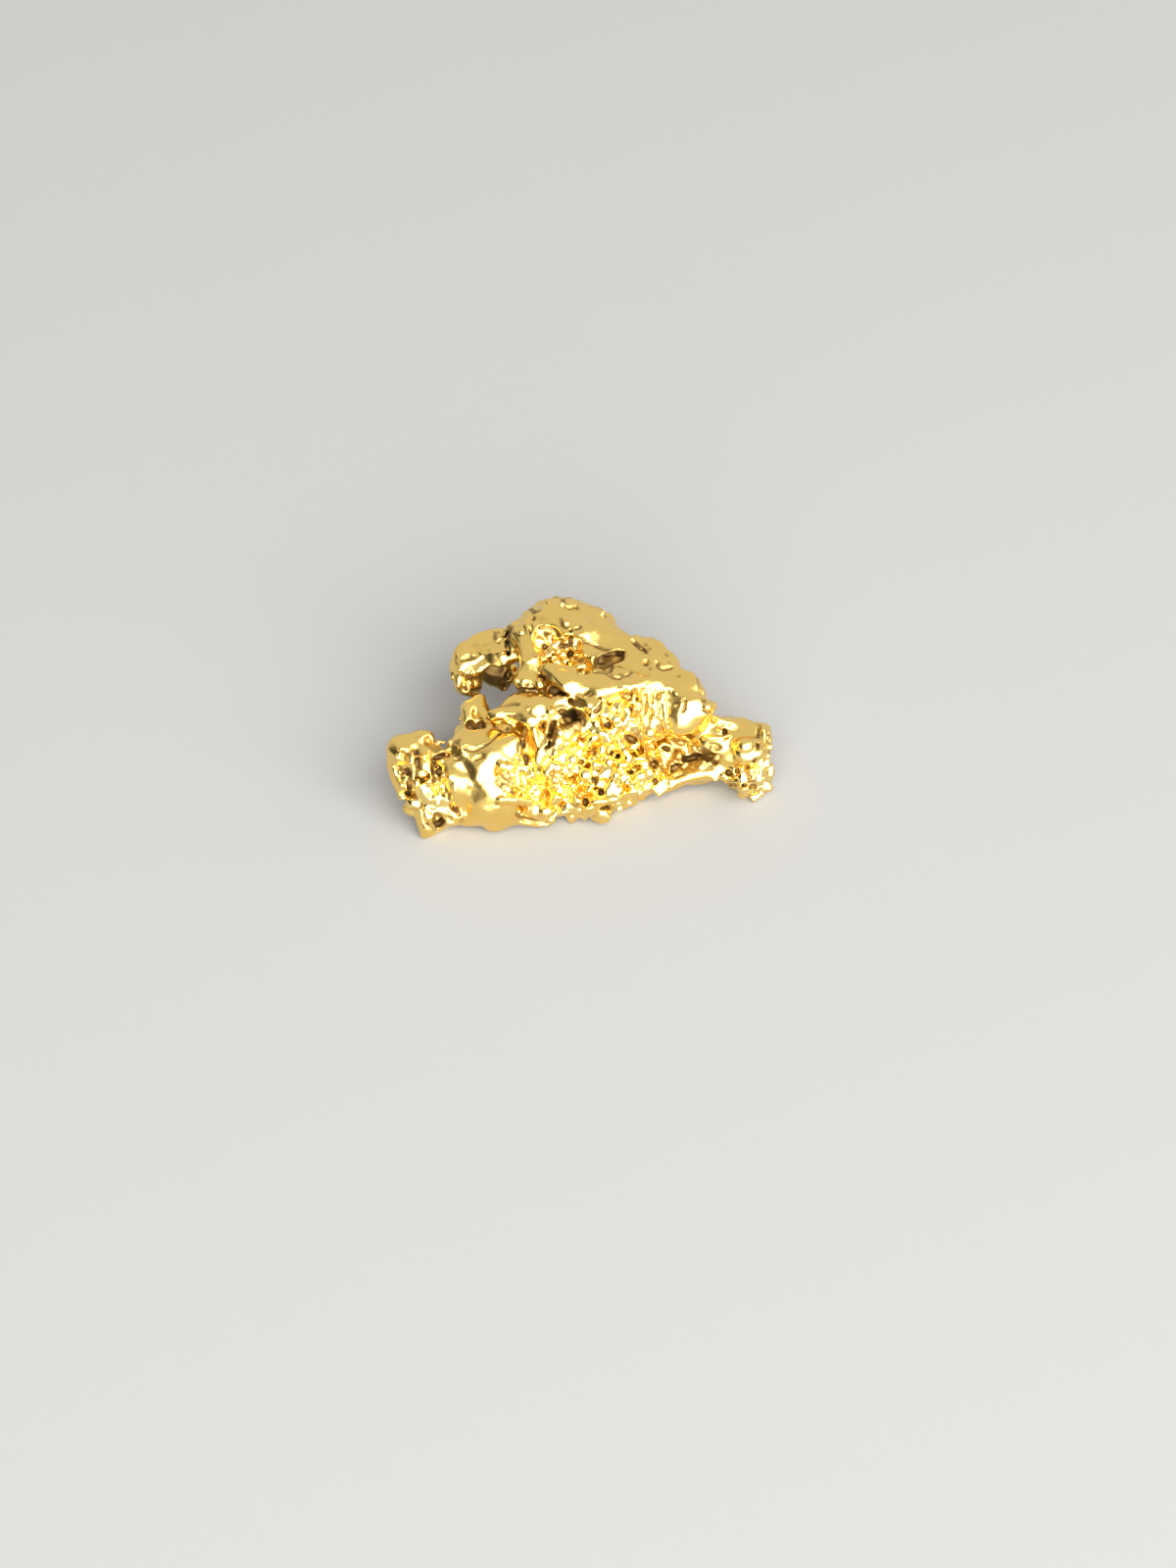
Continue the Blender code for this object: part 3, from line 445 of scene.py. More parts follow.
            (-1.43, -0.78, 0.064, 0.136, 2), (-1.28, -0.7, 0.041, 0.118, 4), (-1.4, -1.1, 0.105, 0.109, 0),
            (-1.45, -0.42, 0.068, 0.05, 0), (-1.59, -1.4, 0.091, 0.073, 0),
        ),
        "lobe": (
            (-2.6, -1.63, 0.055, 0.073, 0), (-1.85, -1.4, 0.064, 0.045, 20), (-1.72, -1.45, 0.091, 0.077, 20),
            (-1.8, -1.68, 0.077, 0.086, 0), (-1.67, -1.76, 0.064, 0.055, 0), (-1.57, -1.55, 0.055, 0.091, 0),
            (-1.43, -1.72, 0.095, 0.086, 0),
        ),
        "leftEnd": (
            (-3.31, -0.64, 0.073, 0.068, 0), (-3.19, -0.65, 0.059, 0.055, 0), (-3.03, -0.64, 0.073, 0.073, 0),
            (-3.03, -1.45, 0.105, 0.118, 0), (-3.93, -1.04, 0.075, 0.195, -4), (-3.64, -0.99, 0.066, 0.127, 6),
            (-3.59, -1.34, 0.068, 0.123, -18), (-4.28, -1.0, 0.064, 0.055, 0), (-4.15, -0.8, 0.136, 0.068, 0),
            (-4.22, -1.34, 0.045, 0.073, 0), (-3.81, -1.6, 0.077, 0.127, -5), (-3.79, -2.15, 0.068, 0.073, 0),
            (-3.06, -2.27, 0.064, 0.064, 0),
        ),
        "bottom": (
            (-1.05, -2.20, 0.36, 0.22, 0), (-0.20, -2.12, 0.34, 0.16, 3), (0.62, -1.98, 0.30, 0.13, 5),
            (-0.82, -2.28, 0.168, 0.159, -10), (-1.08, -2.33, 0.073, 0.068, 0), (-1.2, -2.15, 0.082, 0.155, 0),
            (-1.46, -2.29, 0.068, 0.064, 0), (-0.35, -2.27, 0.205, 0.066, 3), (-0.23, -2.38, 0.073, 0.05, 0),
            (-0.6, -2.33, 0.059, 0.064, 0), (0.42, -2.04, 0.25, 0.105, 3), (0.17, -2.2, 0.136, 0.055, 3),
        ),
        "grains": (
            (0.25, -0.05, 0.095, 0.095, 0), (0.57, -0.01, 0.114, 0.091, 20), (0.8, -0.11, 0.109, 0.114, 0),
            (0.46, -0.44, 0.105, 0.105, 0), (0.2, -0.64, 0.086, 0.145, -25), (0.48, -0.82, 0.1, 0.15, -5),
            (0.88, -0.62, 0.043, 0.15, -6), (1.03, -0.88, 0.086, 0.182, 38), (0.65, -1.1, 0.114, 0.114, 0),
            (0.95, -1.17, 0.164, 0.091, -5), (1.36, -1.02, 0.164, 0.077, -4), (0.1, -1.4, 0.168, 0.159, 0),
            (1.36, -1.43, 0.168, 0.136, 10), (0.85, -1.74, 0.132, 0.127, 0), (1.06, -1.57, 0.082, 0.082, 0),
            (1.2, -1.78, 0.141, 0.086, 15), (1.59, -1.64, 0.077, 0.073, 0), (-0.16, -0.27, 0.082, 0.105, 20),
            (-0.33, -0.67, 0.1, 0.068, 0), (-0.07, -0.89, 0.105, 0.095, 0), (-0.27, -1.18, 0.082, 0.091, 0),
            (0.3, -1.14, 0.1, 0.082, 0), (0.45, -1.43, 0.091, 0.095, 0), (-0.48, -1.52, 0.086, 0.073, 0),
            (-0.2, -1.66, 0.091, 0.077, 0), (0.18, -1.76, 0.1, 0.077, 0), (-0.36, -1.99, 0.077, 0.064, 0),
            (1.08, -0.38, 0.059, 0.059, 0), (0.05, -0.38, 0.068, 0.091, 0), (-0.6, -0.89, 0.068, 0.1, -20),
        ),
        "strut": ((1.08, -0.44, 0.045, 0.05, 0),),
        "corner": (
            (2.2, 0.5, 0.068, 0.045, 0), (2.81, 0.49, 0.045, 0.136, 12), (2.92, 0.17, 0.105, 0.1, 0),
            (3.01, 0.24, 0.05, 0.055, 0),
        ),
        "recess": (
            (1.88, -1.0, 0.118, 0.068, -35), (2.74, -0.92, 0.055, 0.045, 0), (2.23, -0.98, 0.055, 0.055, 0),
        ),
        "arm": (
            (2.99, -0.22, 0.055, 0.045, 0), (3.23, -0.4, 0.066, 0.073, 0), (3.05, -0.75, 0.064, 0.068, 0),
            (3.81, -0.73, 0.191, 0.182, 0), (4.4, -0.75, 0.086, 0.091, 0), (4.35, -0.96, 0.077, 0.077, 0),
            (3.95, -1.3, 0.1, 0.091, 0), (3.72, -1.27, 0.082, 0.055, 0), (3.11, -1.5, 0.068, 0.073, 0),
            (3.3, -1.42, 0.082, 0.082, 0), (4.18, -1.64, 0.082, 0.123, 0), (3.45, -1.25, 0.055, 0.055, 0),
        ),
    },
}

carve = {
    "beadFuse": 0.012,      # mm over which a bead runs into the skin
    "beadDepth": 0.72,      # a bead's reach along the line of sight, against its width
    "beadLift": 0.32,       # share of its depth by which a bead's middle stands off the skin
    "ridgeLift": 0.30,
    "crackSink": 0.55,      # the same, below the skin
    "sightReach": 4.5,      # mm to each side of the x axis, along a line of sight
    "reachPast": 0.30,      # mm, a line of sight that misses the skin by less still counts
    "paintedShadeReach": 0.035,     # mm over which the painted shade fades from a cut's wall
    "dirt": {"cracks": 1.0, "pits": 0.9, "holes": 0.75},    # share of painted shade in each kind of cut
}


def inSpace(spot):
    # depth = (up - cos(rise) * (height - planeHeight)) / sin(rise)
    across, up, height = spot
    rise = math.radians(place["viewRise"])
    depth = (up - math.cos(rise) * (height - place["planeHeight"])) / math.sin(rise)
    return np.array((across, depth, height))


def latticeNoise(axes, wave, rng):
    # random values on a lattice, read with a smooth step between neighbours, from -1 to 1
    counts = [int((a[-1] - a[0]) / wave) + 3 for a in axes]
    values = rng.uniform(-1, 1, counts).astype(np.float32)
    for i, axis in enumerate(axes):
        along = (axis - axis[0]) / wave
        cell = np.floor(along).astype(int)
        part = (along - cell).astype(np.float32)
        part = part * part * (3 - 2 * part)
        shape = [1, 1, 1]
        shape[i] = len(part)
        part = part.reshape(shape)
        values = np.take(values, cell, axis=i) * (1 - part) + np.take(values, cell + 1, axis=i) * part
    return values


class Clay:
    # A block of air with a signed distance to the nugget's skin at each grid point, below 0 inside.

    def __init__(self, low, high, cell, bend, seed):
        self.cell = cell
        self.low = np.array(low, float)
        counts = np.ceil((np.array(high) - low) / cell).astype(int) + 1
        self.axes = [self.low[i] + cell * np.arange(counts[i]) for i in range(3)]
        self.rng = np.random.default_rng(seed)
        self.grid = np.stack(np.meshgrid(*self.axes, indexing="ij"), -1).astype(np.float32)
        self.spots = self.grid.copy()
        for wave, reach in bend:
            for i in range(3):
                self.spots[..., i] += reach * latticeNoise(self.axes, wave, self.rng)
        self.skin = np.full(tuple(counts), nugget["farAway"], np.float32)
        self.dirt = np.zeros(tuple(counts), np.float32)   # painted shade: 1 in cracks and pits

    def near(self, centre, reach):
        first = np.floor((centre - reach - self.low) / self.cell).astype(int)
        last = np.ceil((centre + reach - self.low) / self.cell).astype(int) + 1
        size = self.skin.shape
        return tuple(slice(max(a, 0), min(max(b, 0), n)) for a, b, n in zip(first, last, size))

    def blend(self, part, distance, fuse, cut):
        # smooth minimum to add, smooth maximum of the skin and minus the distance to cut
        skin = self.skin[part]
        sign = -1 if cut else 1
        new = sign * distance
        share = np.clip(0.5 + 0.5 * sign * (new - skin) / fuse, 0, 1)
        self.skin[part] = new * (1 - share) + skin * share - sign * fuse * share * (1 - share)

    def ball(self, centre, radii, turn, fuse, cut=False):
        # distance to an ellipsoid: k0 * (k0 - 1) / k1, with k0 = |p / r| and k1 = |p / r^2|
        radii = np.asarray(radii, np.float32)
        part = self.near(centre, radii.max() + fuse + nugget["room"])
        p = self.spots[part] - centre.astype(np.float32)
        if turn is not None:
            p = p @ turn
        k0 = np.sqrt(((p / radii) ** 2).sum(-1))
        k1 = np.sqrt(((p / radii ** 2) ** 2).sum(-1)) + 1e-6
        distance = k0 * (k0 - 1) / k1
        self.blend(part, distance, fuse, cut)
        return part, distance

    def block(self, centre, half, edge, turn, fuse):
        # distance to a box with rounded edges: |max(q, 0)| + min(max(q), 0) - edge, with q = |p| - half + edge
        part = self.near(centre, np.linalg.norm(half) + fuse + nugget["blockRoom"])
        p = (self.spots[part] - centre.astype(np.float32)) @ turn
        q = np.abs(p) - np.asarray(half, np.float32) + edge
        outside = np.sqrt((np.maximum(q, 0) ** 2).sum(-1))
        self.blend(part, outside + np.minimum(q.max(-1), 0) - edge, fuse, False)

    def bar(self, start, end, startRadius, endRadius, fuse, cut=False):
        # distance to a line, less a radius that changes along it
        reach = np.abs(end - start) / 2 + max(startRadius, endRadius) + fuse + nugget["room"]
        part = self.near((start + end) / 2, reach)
        p = self.spots[part] - start.astype(np.float32)
        line = (end - start).astype(np.float32)
        along = np.clip((p @ line) / float(line @ line), 0, 1)
        gap = np.sqrt(((p - along[..., None] * line) ** 2).sum(-1))
        distance = gap - (startRadius + (endRadius - startRadius) * along)
        self.blend(part, distance, fuse, cut)
        return part, distance

    def paintShade(self, part, distance, share, reach=carve["paintedShadeReach"]):
        # painted shade, brown, fades out over a short way from the wall of a cut
        self.dirt[part] = np.maximum(self.dirt[part], share * np.clip(1 - distance / reach, 0, 1))

    def shape(self, entry, fuse, cut=False):
        # a ball or a bar of the tables above
        if len(entry) == 2:
            spot, radii = entry
            return self.ball(inSpace(spot), radii, None, min(fuse, nugget["thinBall"] * min(radii)), cut)
        start, end, a, b = entry
        return self.bar(inSpace(start), inSpace(end), a, b, min(fuse, nugget["thinBar"] * min(a, b)), cut)


def viewWays():
    # right, up and towards the viewer
    rise = math.radians(place["viewRise"])
    return np.array((
        (1, 0, 0), (0, math.sin(rise), math.cos(rise)), (0, -math.cos(rise), math.sin(rise)),
    ))


def viewPoint():
    # the camera's place in mm, from the same figures as makeCamera
    right, up, back = viewWays()
    width, height = camera["frame"]
    px, py = camera["aimPixel"]
    scale = camera["mmToPixel"]
    aim = np.array((0, 0, place["planeHeight"]))
    aim = aim + right * (width / 2 - px) / scale - up * (height / 2 - py) / scale
    return aim, aim + back * camera["distance"] * 1000


cellCorners = np.array([(i, j, k) for i in (0, 1) for j in (0, 1) for k in (0, 1)])


def readGrid(clay, values, points):
    # value at any point, from the eight grid points round it by their share
    along = (points - clay.low) / clay.cell
    first = np.clip(np.floor(along).astype(int), 0, np.array(values.shape) - 2)
    part = np.clip(along - first, 0, 1)
    total = np.zeros(points.shape[:-1])
    for corner in cellCorners:
        share = np.abs(1 - corner - part).prod(-1)
        total += share * values[tuple(np.moveaxis(first + corner, -1, 0))]
    return total


def seenSpots(clay, places):
    # where the viewer's lines of sight through the places first meet the skin, or pass closest to it
    right, up, _ = viewWays()
    places = np.asarray(places, float)
    through = np.array((0, 0, place["planeHeight"])) + places[:, :1] * right + places[:, 1:2] * up
    _, eye = viewPoint()
    line = through - eye
    far = np.linalg.norm(line, axis=1, keepdims=True)
    line = line / far
    steps = np.arange(-carve["sightReach"], carve["sightReach"], clay.cell / 2)
    points = through[:, None] + steps[None, :, None] * line[:, None]
    values = readGrid(clay, clay.skin, points)
    inside = values < 0
    hit = np.where(inside.any(1), inside.argmax(1), values.argmin(1))
    row = np.arange(len(places))
    missed = values[row, hit] > carve["reachPast"]
    return points[row, hit], line, missed


def addLine(clay, kind, radius, *path):
    # a crack or a ridge: bars from one seen place to the next
    points, line, missed = seenSpots(clay, path)
    if missed.any():
        return 0
    cut = kind == "cracks"
    points = points + (carve["crackSink"] if cut else -carve["ridgeLift"]) * radius * line
    for start, end in zip(points[:-1], points[1:]):
        made = clay.bar(start, end, radius, radius, carve["beadFuse"], cut)
        if cut:
            # painted shade, brown, along the crack
            clay.paintShade(*made, carve["dirt"][kind])
    return 1


def addSpot(clay, kind, across, up, *sizes):
    # a hole, a pit or a bead: a ball that faces the viewer, turned by its tilt
    points, line, missed = seenSpots(clay, [(across, up)])
    if missed[0]:
        return 0
    tilt = 0.0 if kind == "pits" else math.radians(sizes[-1])
    spin = np.array(((math.cos(tilt), -math.sin(tilt), 0), (math.sin(tilt), math.cos(tilt), 0), (0, 0, 1)))
    turn = (viewWays().T @ spin).astype(np.float32)
    if kind == "beads":
        wide, tall = sizes[:2]
        deep = carve["beadDepth"] * 0.5 * (wide + tall)
        clay.ball(points[0] - carve["beadLift"] * deep * line[0], (wide, tall, deep), turn, carve["beadFuse"])
    else:
        radii = sizes * 3 if kind == "pits" else sizes[:3]
        # painted shade, brown, in the hole or pit
        clay.paintShade(*clay.ball(points[0], radii, turn, carve["beadFuse"], True), carve["dirt"][kind])
    return 1


def addDetails(clay):
    count = 0
    for kind, regions in details.items():
        add = addLine if kind in ("cracks", "ridges") else addSpot
        count += sum(add(clay, kind, *entry) for entries in regions.values() for entry in entries)
    print("small features:", count)


def randomTurn(rng):
    # a random unit quaternion as a rotation matrix
    w, x, y, z = (q := rng.normal(size=4)) / np.linalg.norm(q)
    return np.array((
        (1 - 2 * (y * y + z * z), 2 * (x * y - z * w), 2 * (x * z + y * w)),
        (2 * (x * y + z * w), 1 - 2 * (x * x + z * z), 2 * (y * z - x * w)),
        (2 * (x * z - y * w), 2 * (y * z + x * w), 1 - 2 * (x * x + y * y)),
    ), np.float32)


# Zones of sparkling crumbs: (place, radii), crumbs and cavities to a square mm, size against the usual one.
crumbZones = {
    "face": (((0.35, -0.85, 1.60), (1.35, 1.05, 1.20)), 12, 3, 1.35),
    "faceLow": (((0.50, -1.60, 0.70), (1.35, 0.80, 0.70)), 13, 3, 1.25),
    "topHollow": (((-0.45, 1.40, 2.45), (0.70, 0.62, 0.45)), 15, 0.5, 0.85),
    "bottomBand": (((-0.35, -2.15, 0.50), (1.50, 0.42, 0.42)), 7, 1, 1.35),
    "slotSide": (((-1.40, -1.50, 1.60), (0.50, 0.60, 0.60)), 12, 3, 0.90),
    "recess": (((2.10, -0.90, 0.95), (1.10, 0.50, 0.50)), 6, 2, 0.90),
    "armLow": (((3.95, -1.45, 0.60), (0.60, 0.50, 0.55)), 10, 3, 0.90),
    "leftEnd": (((-3.40, -1.70, 0.95), (0.75, 0.80, 0.70)), 3, 4, 1.20),
    "backLow": (((0.80, 1.60, 0.90), (1.60, 0.60, 0.60)), 9, 5, 1.10),
    "backLeft": (((-1.30, 0.60, 0.90), (0.70, 0.70, 0.60)), 9, 5, 1.00),
}

crumbs = {
    "radius": (0.075, 0.150),       # mm, from the smallest to the largest
    "favourSmall": 1.6,             # above 1, more of them are small
    "stretch": (0.75, 1.25),        # each of a crumb's three radii, against its size
    "blocky": 0.15,                 # share of crumbs with flat sides
    "blockSize": (0.85, 0.22),      # a block's half sides and its rounding, against its size
    "fuse": 0.028,
    "sunk": 0.02,                   # share of its radius that a crumb's middle sits below the surface
    "pitRadius": (0.07, 0.15),
    "pitStretch": (0.7, 1.4),
    "pitFuse": 0.02,
    "skinBand": 0.7,                # cells to each side of the skin, where spots are looked for
    "zoneEdge": 0.25,               # share of a zone's radii over which its colour fades out
}


def zoneSquare(zone, points):
    # square of the distance to a zone's middle, with the zone's edge at 1
    spot, radii = zone
    return (((points - inSpace(spot)) / radii) ** 2).sum(-1)


def skinSpots(clay, zone, perMm, rng):
    # grid points at the skin inside the zone, thinned to one in each square of the wanted side
    part = clay.near(inSpace(zone[0]), np.array(zone[1]))
    p = clay.spots[part]
    atSkin = np.abs(clay.skin[part]) < crumbs["skinBand"] * clay.cell
    p = p[(zoneSquare(zone, p) < 1) & atSkin]
    p = p[rng.permutation(len(p))]
    side = 1 / math.sqrt(perMm)
    _, first = np.unique(np.floor(p / side).astype(int), axis=0, return_index=True)
    return p[np.sort(first)].astype(float)


def outward(clay, points):
    # direction in which the distance grows fastest, from neighbouring grid points
    at = np.clip(np.round((points - clay.low) / clay.cell).astype(int), 1, np.array(clay.skin.shape) - 2)
    slope = np.stack([
        clay.skin[tuple((at + step).T)] - clay.skin[tuple((at - step).T)] for step in np.eye(3, dtype=int)
    ], -1)
    return slope / (np.linalg.norm(slope, axis=1, keepdims=True) + 1e-9)


def addCrumbs(clay):
    # cavities at random spots of each zone, then crumbs over them
    rng = clay.rng
    total = 0
    for zone, perMm, pitsPerMm, usual in crumbZones.values():
        for point in skinSpots(clay, zone, pitsPerMm, rng):
            size = usual * rng.uniform(*crumbs["pitRadius"])
            radii = size * rng.uniform(*crumbs["pitStretch"], 3)
            clay.ball(point, radii, randomTurn(rng), crumbs["pitFuse"], True)
        points = skinSpots(clay, zone, perMm, rng)
        small, large = crumbs["radius"]
        for point, out in zip(points, outward(clay, points)):
            size = usual * (small + (large - small) * rng.random() ** crumbs["favourSmall"])
            centre = point - crumbs["sunk"] * size * out
            half = size * rng.uniform(*crumbs["stretch"], 3)
            if rng.random() < crumbs["blocky"]:
                side, edge = crumbs["blockSize"]
                clay.block(centre, side * half, edge * size, randomTurn(rng), crumbs["fuse"])
            else:
                clay.ball(centre, half, randomTurn(rng), crumbs["fuse"])
        total += len(points)
    print("crumbs:", total)


weather = {
    "zone": ((0.0, 0.0, 1.5), (9.0, 9.0, 9.0)),     # all of it
    "perMm": 3.2,
    "facing": -0.30,            # cosine between the skin and the viewer, hidden below this
    "beadFacing": -0.70,
    "shares": (0.42, 0.26, 0.32),
    "pit": (0.05, 0.13),        # radii in mm
    "groove": (0.030, 0.055),
    "bead": (0.05, 0.11),
    "stretch": (0.7, 1.4),      # each of the three radii of a pit or bead, against its size
    "fuse": {"pit": 0.02, "groove": 0.02, "bead": 0.03},
    # painted shade, brown, in the hidden pits and grooves
    "dirt": {"pit": 0.6, "groove": 0.7},
    "steps": (2, 6),            # steps of a groove, the last number not reached
    "step": 0.17,               # mm of a groove between two turns
    "turn": 0.7,                # how far a groove turns at each step
    "taper": 0.85,
}


def addGroove(clay, point, out, radius):
    # short bars along the skin, each turned a little from the one before
    rng = clay.rng
    way = np.cross(out, rng.normal(size=3))
    for _ in range(rng.integers(*weather["steps"])):
        way = way + rng.uniform(-weather["turn"], weather["turn"]) * np.cross(out, way)
        end = point + weather["step"] * way / np.linalg.norm(way)
        out = outward(clay, end[None])[0]
        end = end - readGrid(clay, clay.skin, end[None])[0] * out
        cut = clay.bar(point, end, radius, weather["taper"] * radius, weather["fuse"]["groove"], True)
        # painted shade along the groove
        clay.paintShade(*cut, weather["dirt"]["groove"])
        point = end


def addWeather(clay):
    # on the sides that the viewer can't see: pits, wandering grooves and beads at random spots
    rng = clay.rng
    points = skinSpots(clay, weather["zone"], weather["perMm"], rng)
    outs = outward(clay, points)
    facing = outs @ viewWays()[2]
    hidden = facing < weather["facing"]
    for point, out, face in zip(points[hidden], outs[hidden], facing[hidden]):
        kind = rng.choice(("pit", "groove", "bead"), p=weather["shares"])
        if kind == "bead" and face > weather["beadFacing"]:
            kind = "pit"   # a bead here would stand out of the outline
        radius = rng.uniform(*weather[kind])
        if kind == "groove":
            addGroove(clay, point, out, radius)
            continue
        radii = radius * rng.uniform(*weather["stretch"], 3)
        made = clay.ball(point, radii, randomTurn(rng), weather["fuse"][kind], kind == "pit")
        if kind == "pit":
            # painted shade in the pit
            clay.paintShade(*made, weather["dirt"]["pit"])
    print("weathered spots on the hidden sides:", int(hidden.sum()))


# Upright ridges on the front of the corner, like bark
bark = {
    "across": (0.86, 1.98),         # mm, from the first to the last ridge
    "up": (0.56, -0.40),            # mm, from the top to the foot
    "spacing": 0.092,
    "sway": 0.080,                  # mm that a ridge wanders to the sides
    "lift": 0.03,                   # mm that its corners wander up and down
    "radius": (0.026, 0.048),
    "taper": 0.8,
    "fuse": 0.012,
    "stands": 0.1,                  # share of its radius by which a ridge's middle stands off the skin
    "crackSink": 0.2,               # the same, below the skin, for the crack beside it
    # painted shade in the crack beside each ridge
    "dirt": 0.5,
    "pieces": 9,                    # lengths that a ridge is made of, some of them missing
    "missing": 0.22,
    "longest": 0.5,                 # mm, a longer length would jump over a gap
}


def addBark(clay):
    # wavy upright ridges side by side, each in short lengths, with a crack beside it
    rng = clay.rng
    ups = np.linspace(*bark["up"], bark["pieces"] + 1)
    for across in np.arange(*bark["across"], bark["spacing"]):
        sway = np.cumsum(rng.uniform(-1, 1, len(ups))) * bark["sway"] / 2
        path = np.stack([across + sway, ups + rng.uniform(-bark["lift"], bark["lift"], len(ups))], 1)
        beside = path + (bark["spacing"] / 2, 0)
        for places, cut in ((beside, True), (path, False)):
            points, line, missed = seenSpots(clay, places)
            for i in range(len(points) - 1):
                jump = np.linalg.norm(points[i + 1] - points[i])
                if missed[i] or missed[i + 1] or jump > bark["longest"] or rng.random() < bark["missing"]:
                    continue
                radius = rng.uniform(*bark["radius"])
                shift = (bark["crackSink"] if cut else -bark["stands"]) * radius
                made = clay.bar(points[i] + shift * line[i], points[i + 1] + shift * line[i + 1],
                                radius, bark["taper"] * radius, bark["fuse"], cut)
                if cut:
                    # painted shade in the crack beside the ridge
                    clay.paintShade(*made, bark["dirt"])
    print("bark ridges on the corner")


# Brown painted shade in the deep hollows
cavityShade = {
    "reach": 0.11,          # mm to each side, over which the solid is averaged
    "begins": 0.62,         # share of solid at which the painted shade begins
    "full": 0.78,
    "fade": 0.10,           # mm over which it fades from a hollow's wall
    "zoneEdge": 0.30,       # share of a zone's radii over which it fades out
}
# share of painted shade along the walls of each kind of hollow
wallShade = {"top": 0.0, "underLedge": 0.9, "crevices": 0.9, "pockets": 0.7, "roofHollow": 0.9}
# Hollows painted in shade as a whole: (place, radii), share of painted shade
shadedZones = {
    "inHook": (((-2.02, 0.94, 1.50), (0.46, 0.38, 0.50)), 0.95),
    "underLeaf": (((-0.22, 0.00, 1.95), (0.42, 0.20, 0.55)), 0.95),
    "inEar": (((-2.45, -0.36, 1.70), (0.34, 0.22, 0.28)), 0.60),
    "recess": (((2.35, -1.02, 0.95), (0.80, 0.26, 0.45)), 0.55),
    "toe": (((-3.32, -2.44, 0.40), (0.20, 0.24, 0.25)), 0.80),
}


def modelClay():
    clay = Clay(nugget["gridLow"], nugget["gridHigh"], nugget["cell"], nugget["bend"], nugget["seed"])
    for group in lumps.values():
        for entry in group:
            clay.shape(entry, nugget["fuse"])
    for name, group in hollows.items():
        for entry in group:
            # painted shade, brown, along each hollow's wall
            clay.paintShade(*clay.shape(entry, nugget["rimFuse"], True), wallShade[name], cavityShade["fade"])
    for wave, height in nugget["swell"]:
        clay.skin += height * latticeNoise(clay.axes, wave, clay.rng)
    slopes = np.gradient(clay.skin, clay.cell)
    steep = np.sqrt(sum(slope ** 2 for slope in slopes)) + 1e-6
    facing = sum(slope * way for slope, way in zip(slopes, viewWays()[2])) / steep
    hidden = np.clip(-nugget["backEdge"] * facing, 0, 1).astype(np.float32)
    for wave, height in nugget["backSwell"]:
        clay.skin += height * hidden * latticeNoise(clay.axes, wave, clay.rng)
    print("lumps and hollows joined")
    clay.spots = clay.grid   # from here on nothing is bent
    addWeather(clay)
    addCrumbs(clay)
    addBark(clay)
    addDetails(clay)
    clay.skin = np.maximum(clay.skin, -clay.grid[..., 2])   # flat where it meets the floor
    return clay


def cornerParts(size):
    # the parts of a grid that hold each of its cells' eight corners, by corner
    return {tuple(c): tuple(slice(i, n - 1 + i) for i, n in zip(c, size)) for c in cellCorners.tolist()}


def fillPinches(skin, depth):
    # Where only two points across a corner of a cell are inside, the skin would touch itself: fill them in.
    corners = cornerParts(skin.shape)
    for _ in range(nugget["pinchRounds"]):
        inside = skin < 0
        fill = np.zeros_like(inside)
        for a, b in ((0, 1), (0, 2), (1, 2)):
            cut = [[slice(None)] * 3 for _ in range(4)]
            for n, (i, j) in enumerate(((0, 0), (1, 1), (0, 1), (1, 0))):
                cut[n][a] = slice(i, skin.shape[a] - 1 + i)
                cut[n][b] = slice(j, skin.shape[b] - 1 + j)
            p, q, r, s = (inside[tuple(c)] for c in cut)
            pinch = (p == q) & (r == s) & (p != r)
            for c in cut:
                fill[tuple(c)] |= pinch
        count = sum(inside[c].astype(np.int8) for c in corners.values())
        for i, j in ((0, 0), (0, 1), (1, 0), (1, 1)):
            p, q = inside[corners[0, i, j]], inside[corners[1, 1 - i, 1 - j]]
            pinch = ((count == 2) & p & q) | ((count == 6) & ~p & ~q)
            for c in corners.values():
                fill[c] |= pinch
        fill &= ~inside
        if not fill.any():
            break
        skin[fill] = -depth
    return skin


def surfaceNet(skin, low, cell):
    # one point in each cell that the skin crosses, at the mean of its edge crossings,
    # and one quad round each grid edge that the skin crosses
    inside = skin < 0
    count = sum(inside[part].astype(np.int8) for part in cornerParts(skin.shape).values())
    crossed = (count > 0) & (count < 8)
    cells = np.argwhere(crossed)
    index = -np.ones(crossed.shape, np.int64)
    index[crossed] = np.arange(len(cells))
    total, hits = np.zeros((len(cells), 3)), np.zeros(len(cells))
    steps = np.eye(3, dtype=int)
    for axis in range(3):
        u, v = steps[[i for i in range(3) if i != axis]]
        for corner in (0 * u, u, v, u + v):
            a = cells + corner
            b = a + steps[axis]
            da, db = skin[tuple(a.T)], skin[tuple(b.T)]
            hit = (da < 0) != (db < 0)
            share = np.where(hit, da / np.where(hit, da - db, 1), 0)
            total[hit] += corner + steps[axis] * share[hit, None]
            hits[hit] += 1
    points = low + cell * (cells + total / hits[:, None])
    quads = []
    for axis in range(3):
        u, v = steps[(axis + 1) % 3], steps[(axis + 2) % 3]
        here, there = [slice(1, -1)] * 3, [slice(1, -1)] * 3
        here[axis], there[axis] = slice(0, -1), slice(1, None)
        leaves = inside[tuple(here)] != inside[tuple(there)]
        outwards = inside[tuple(here)][leaves]
        at = np.argwhere(leaves) + 1 - steps[axis]
        quad = np.stack([index[tuple((at - w).T)] for w in (u + v, v, 0 * u, u)], 1)
        quad[~outwards] = quad[~outwards][:, ::-1]
        quads.append(quad)
    return points, np.concatenate(quads)


def edgesOf(quads):
    return np.concatenate([quads[:, [i, (i + 1) % 4]] for i in range(4)])


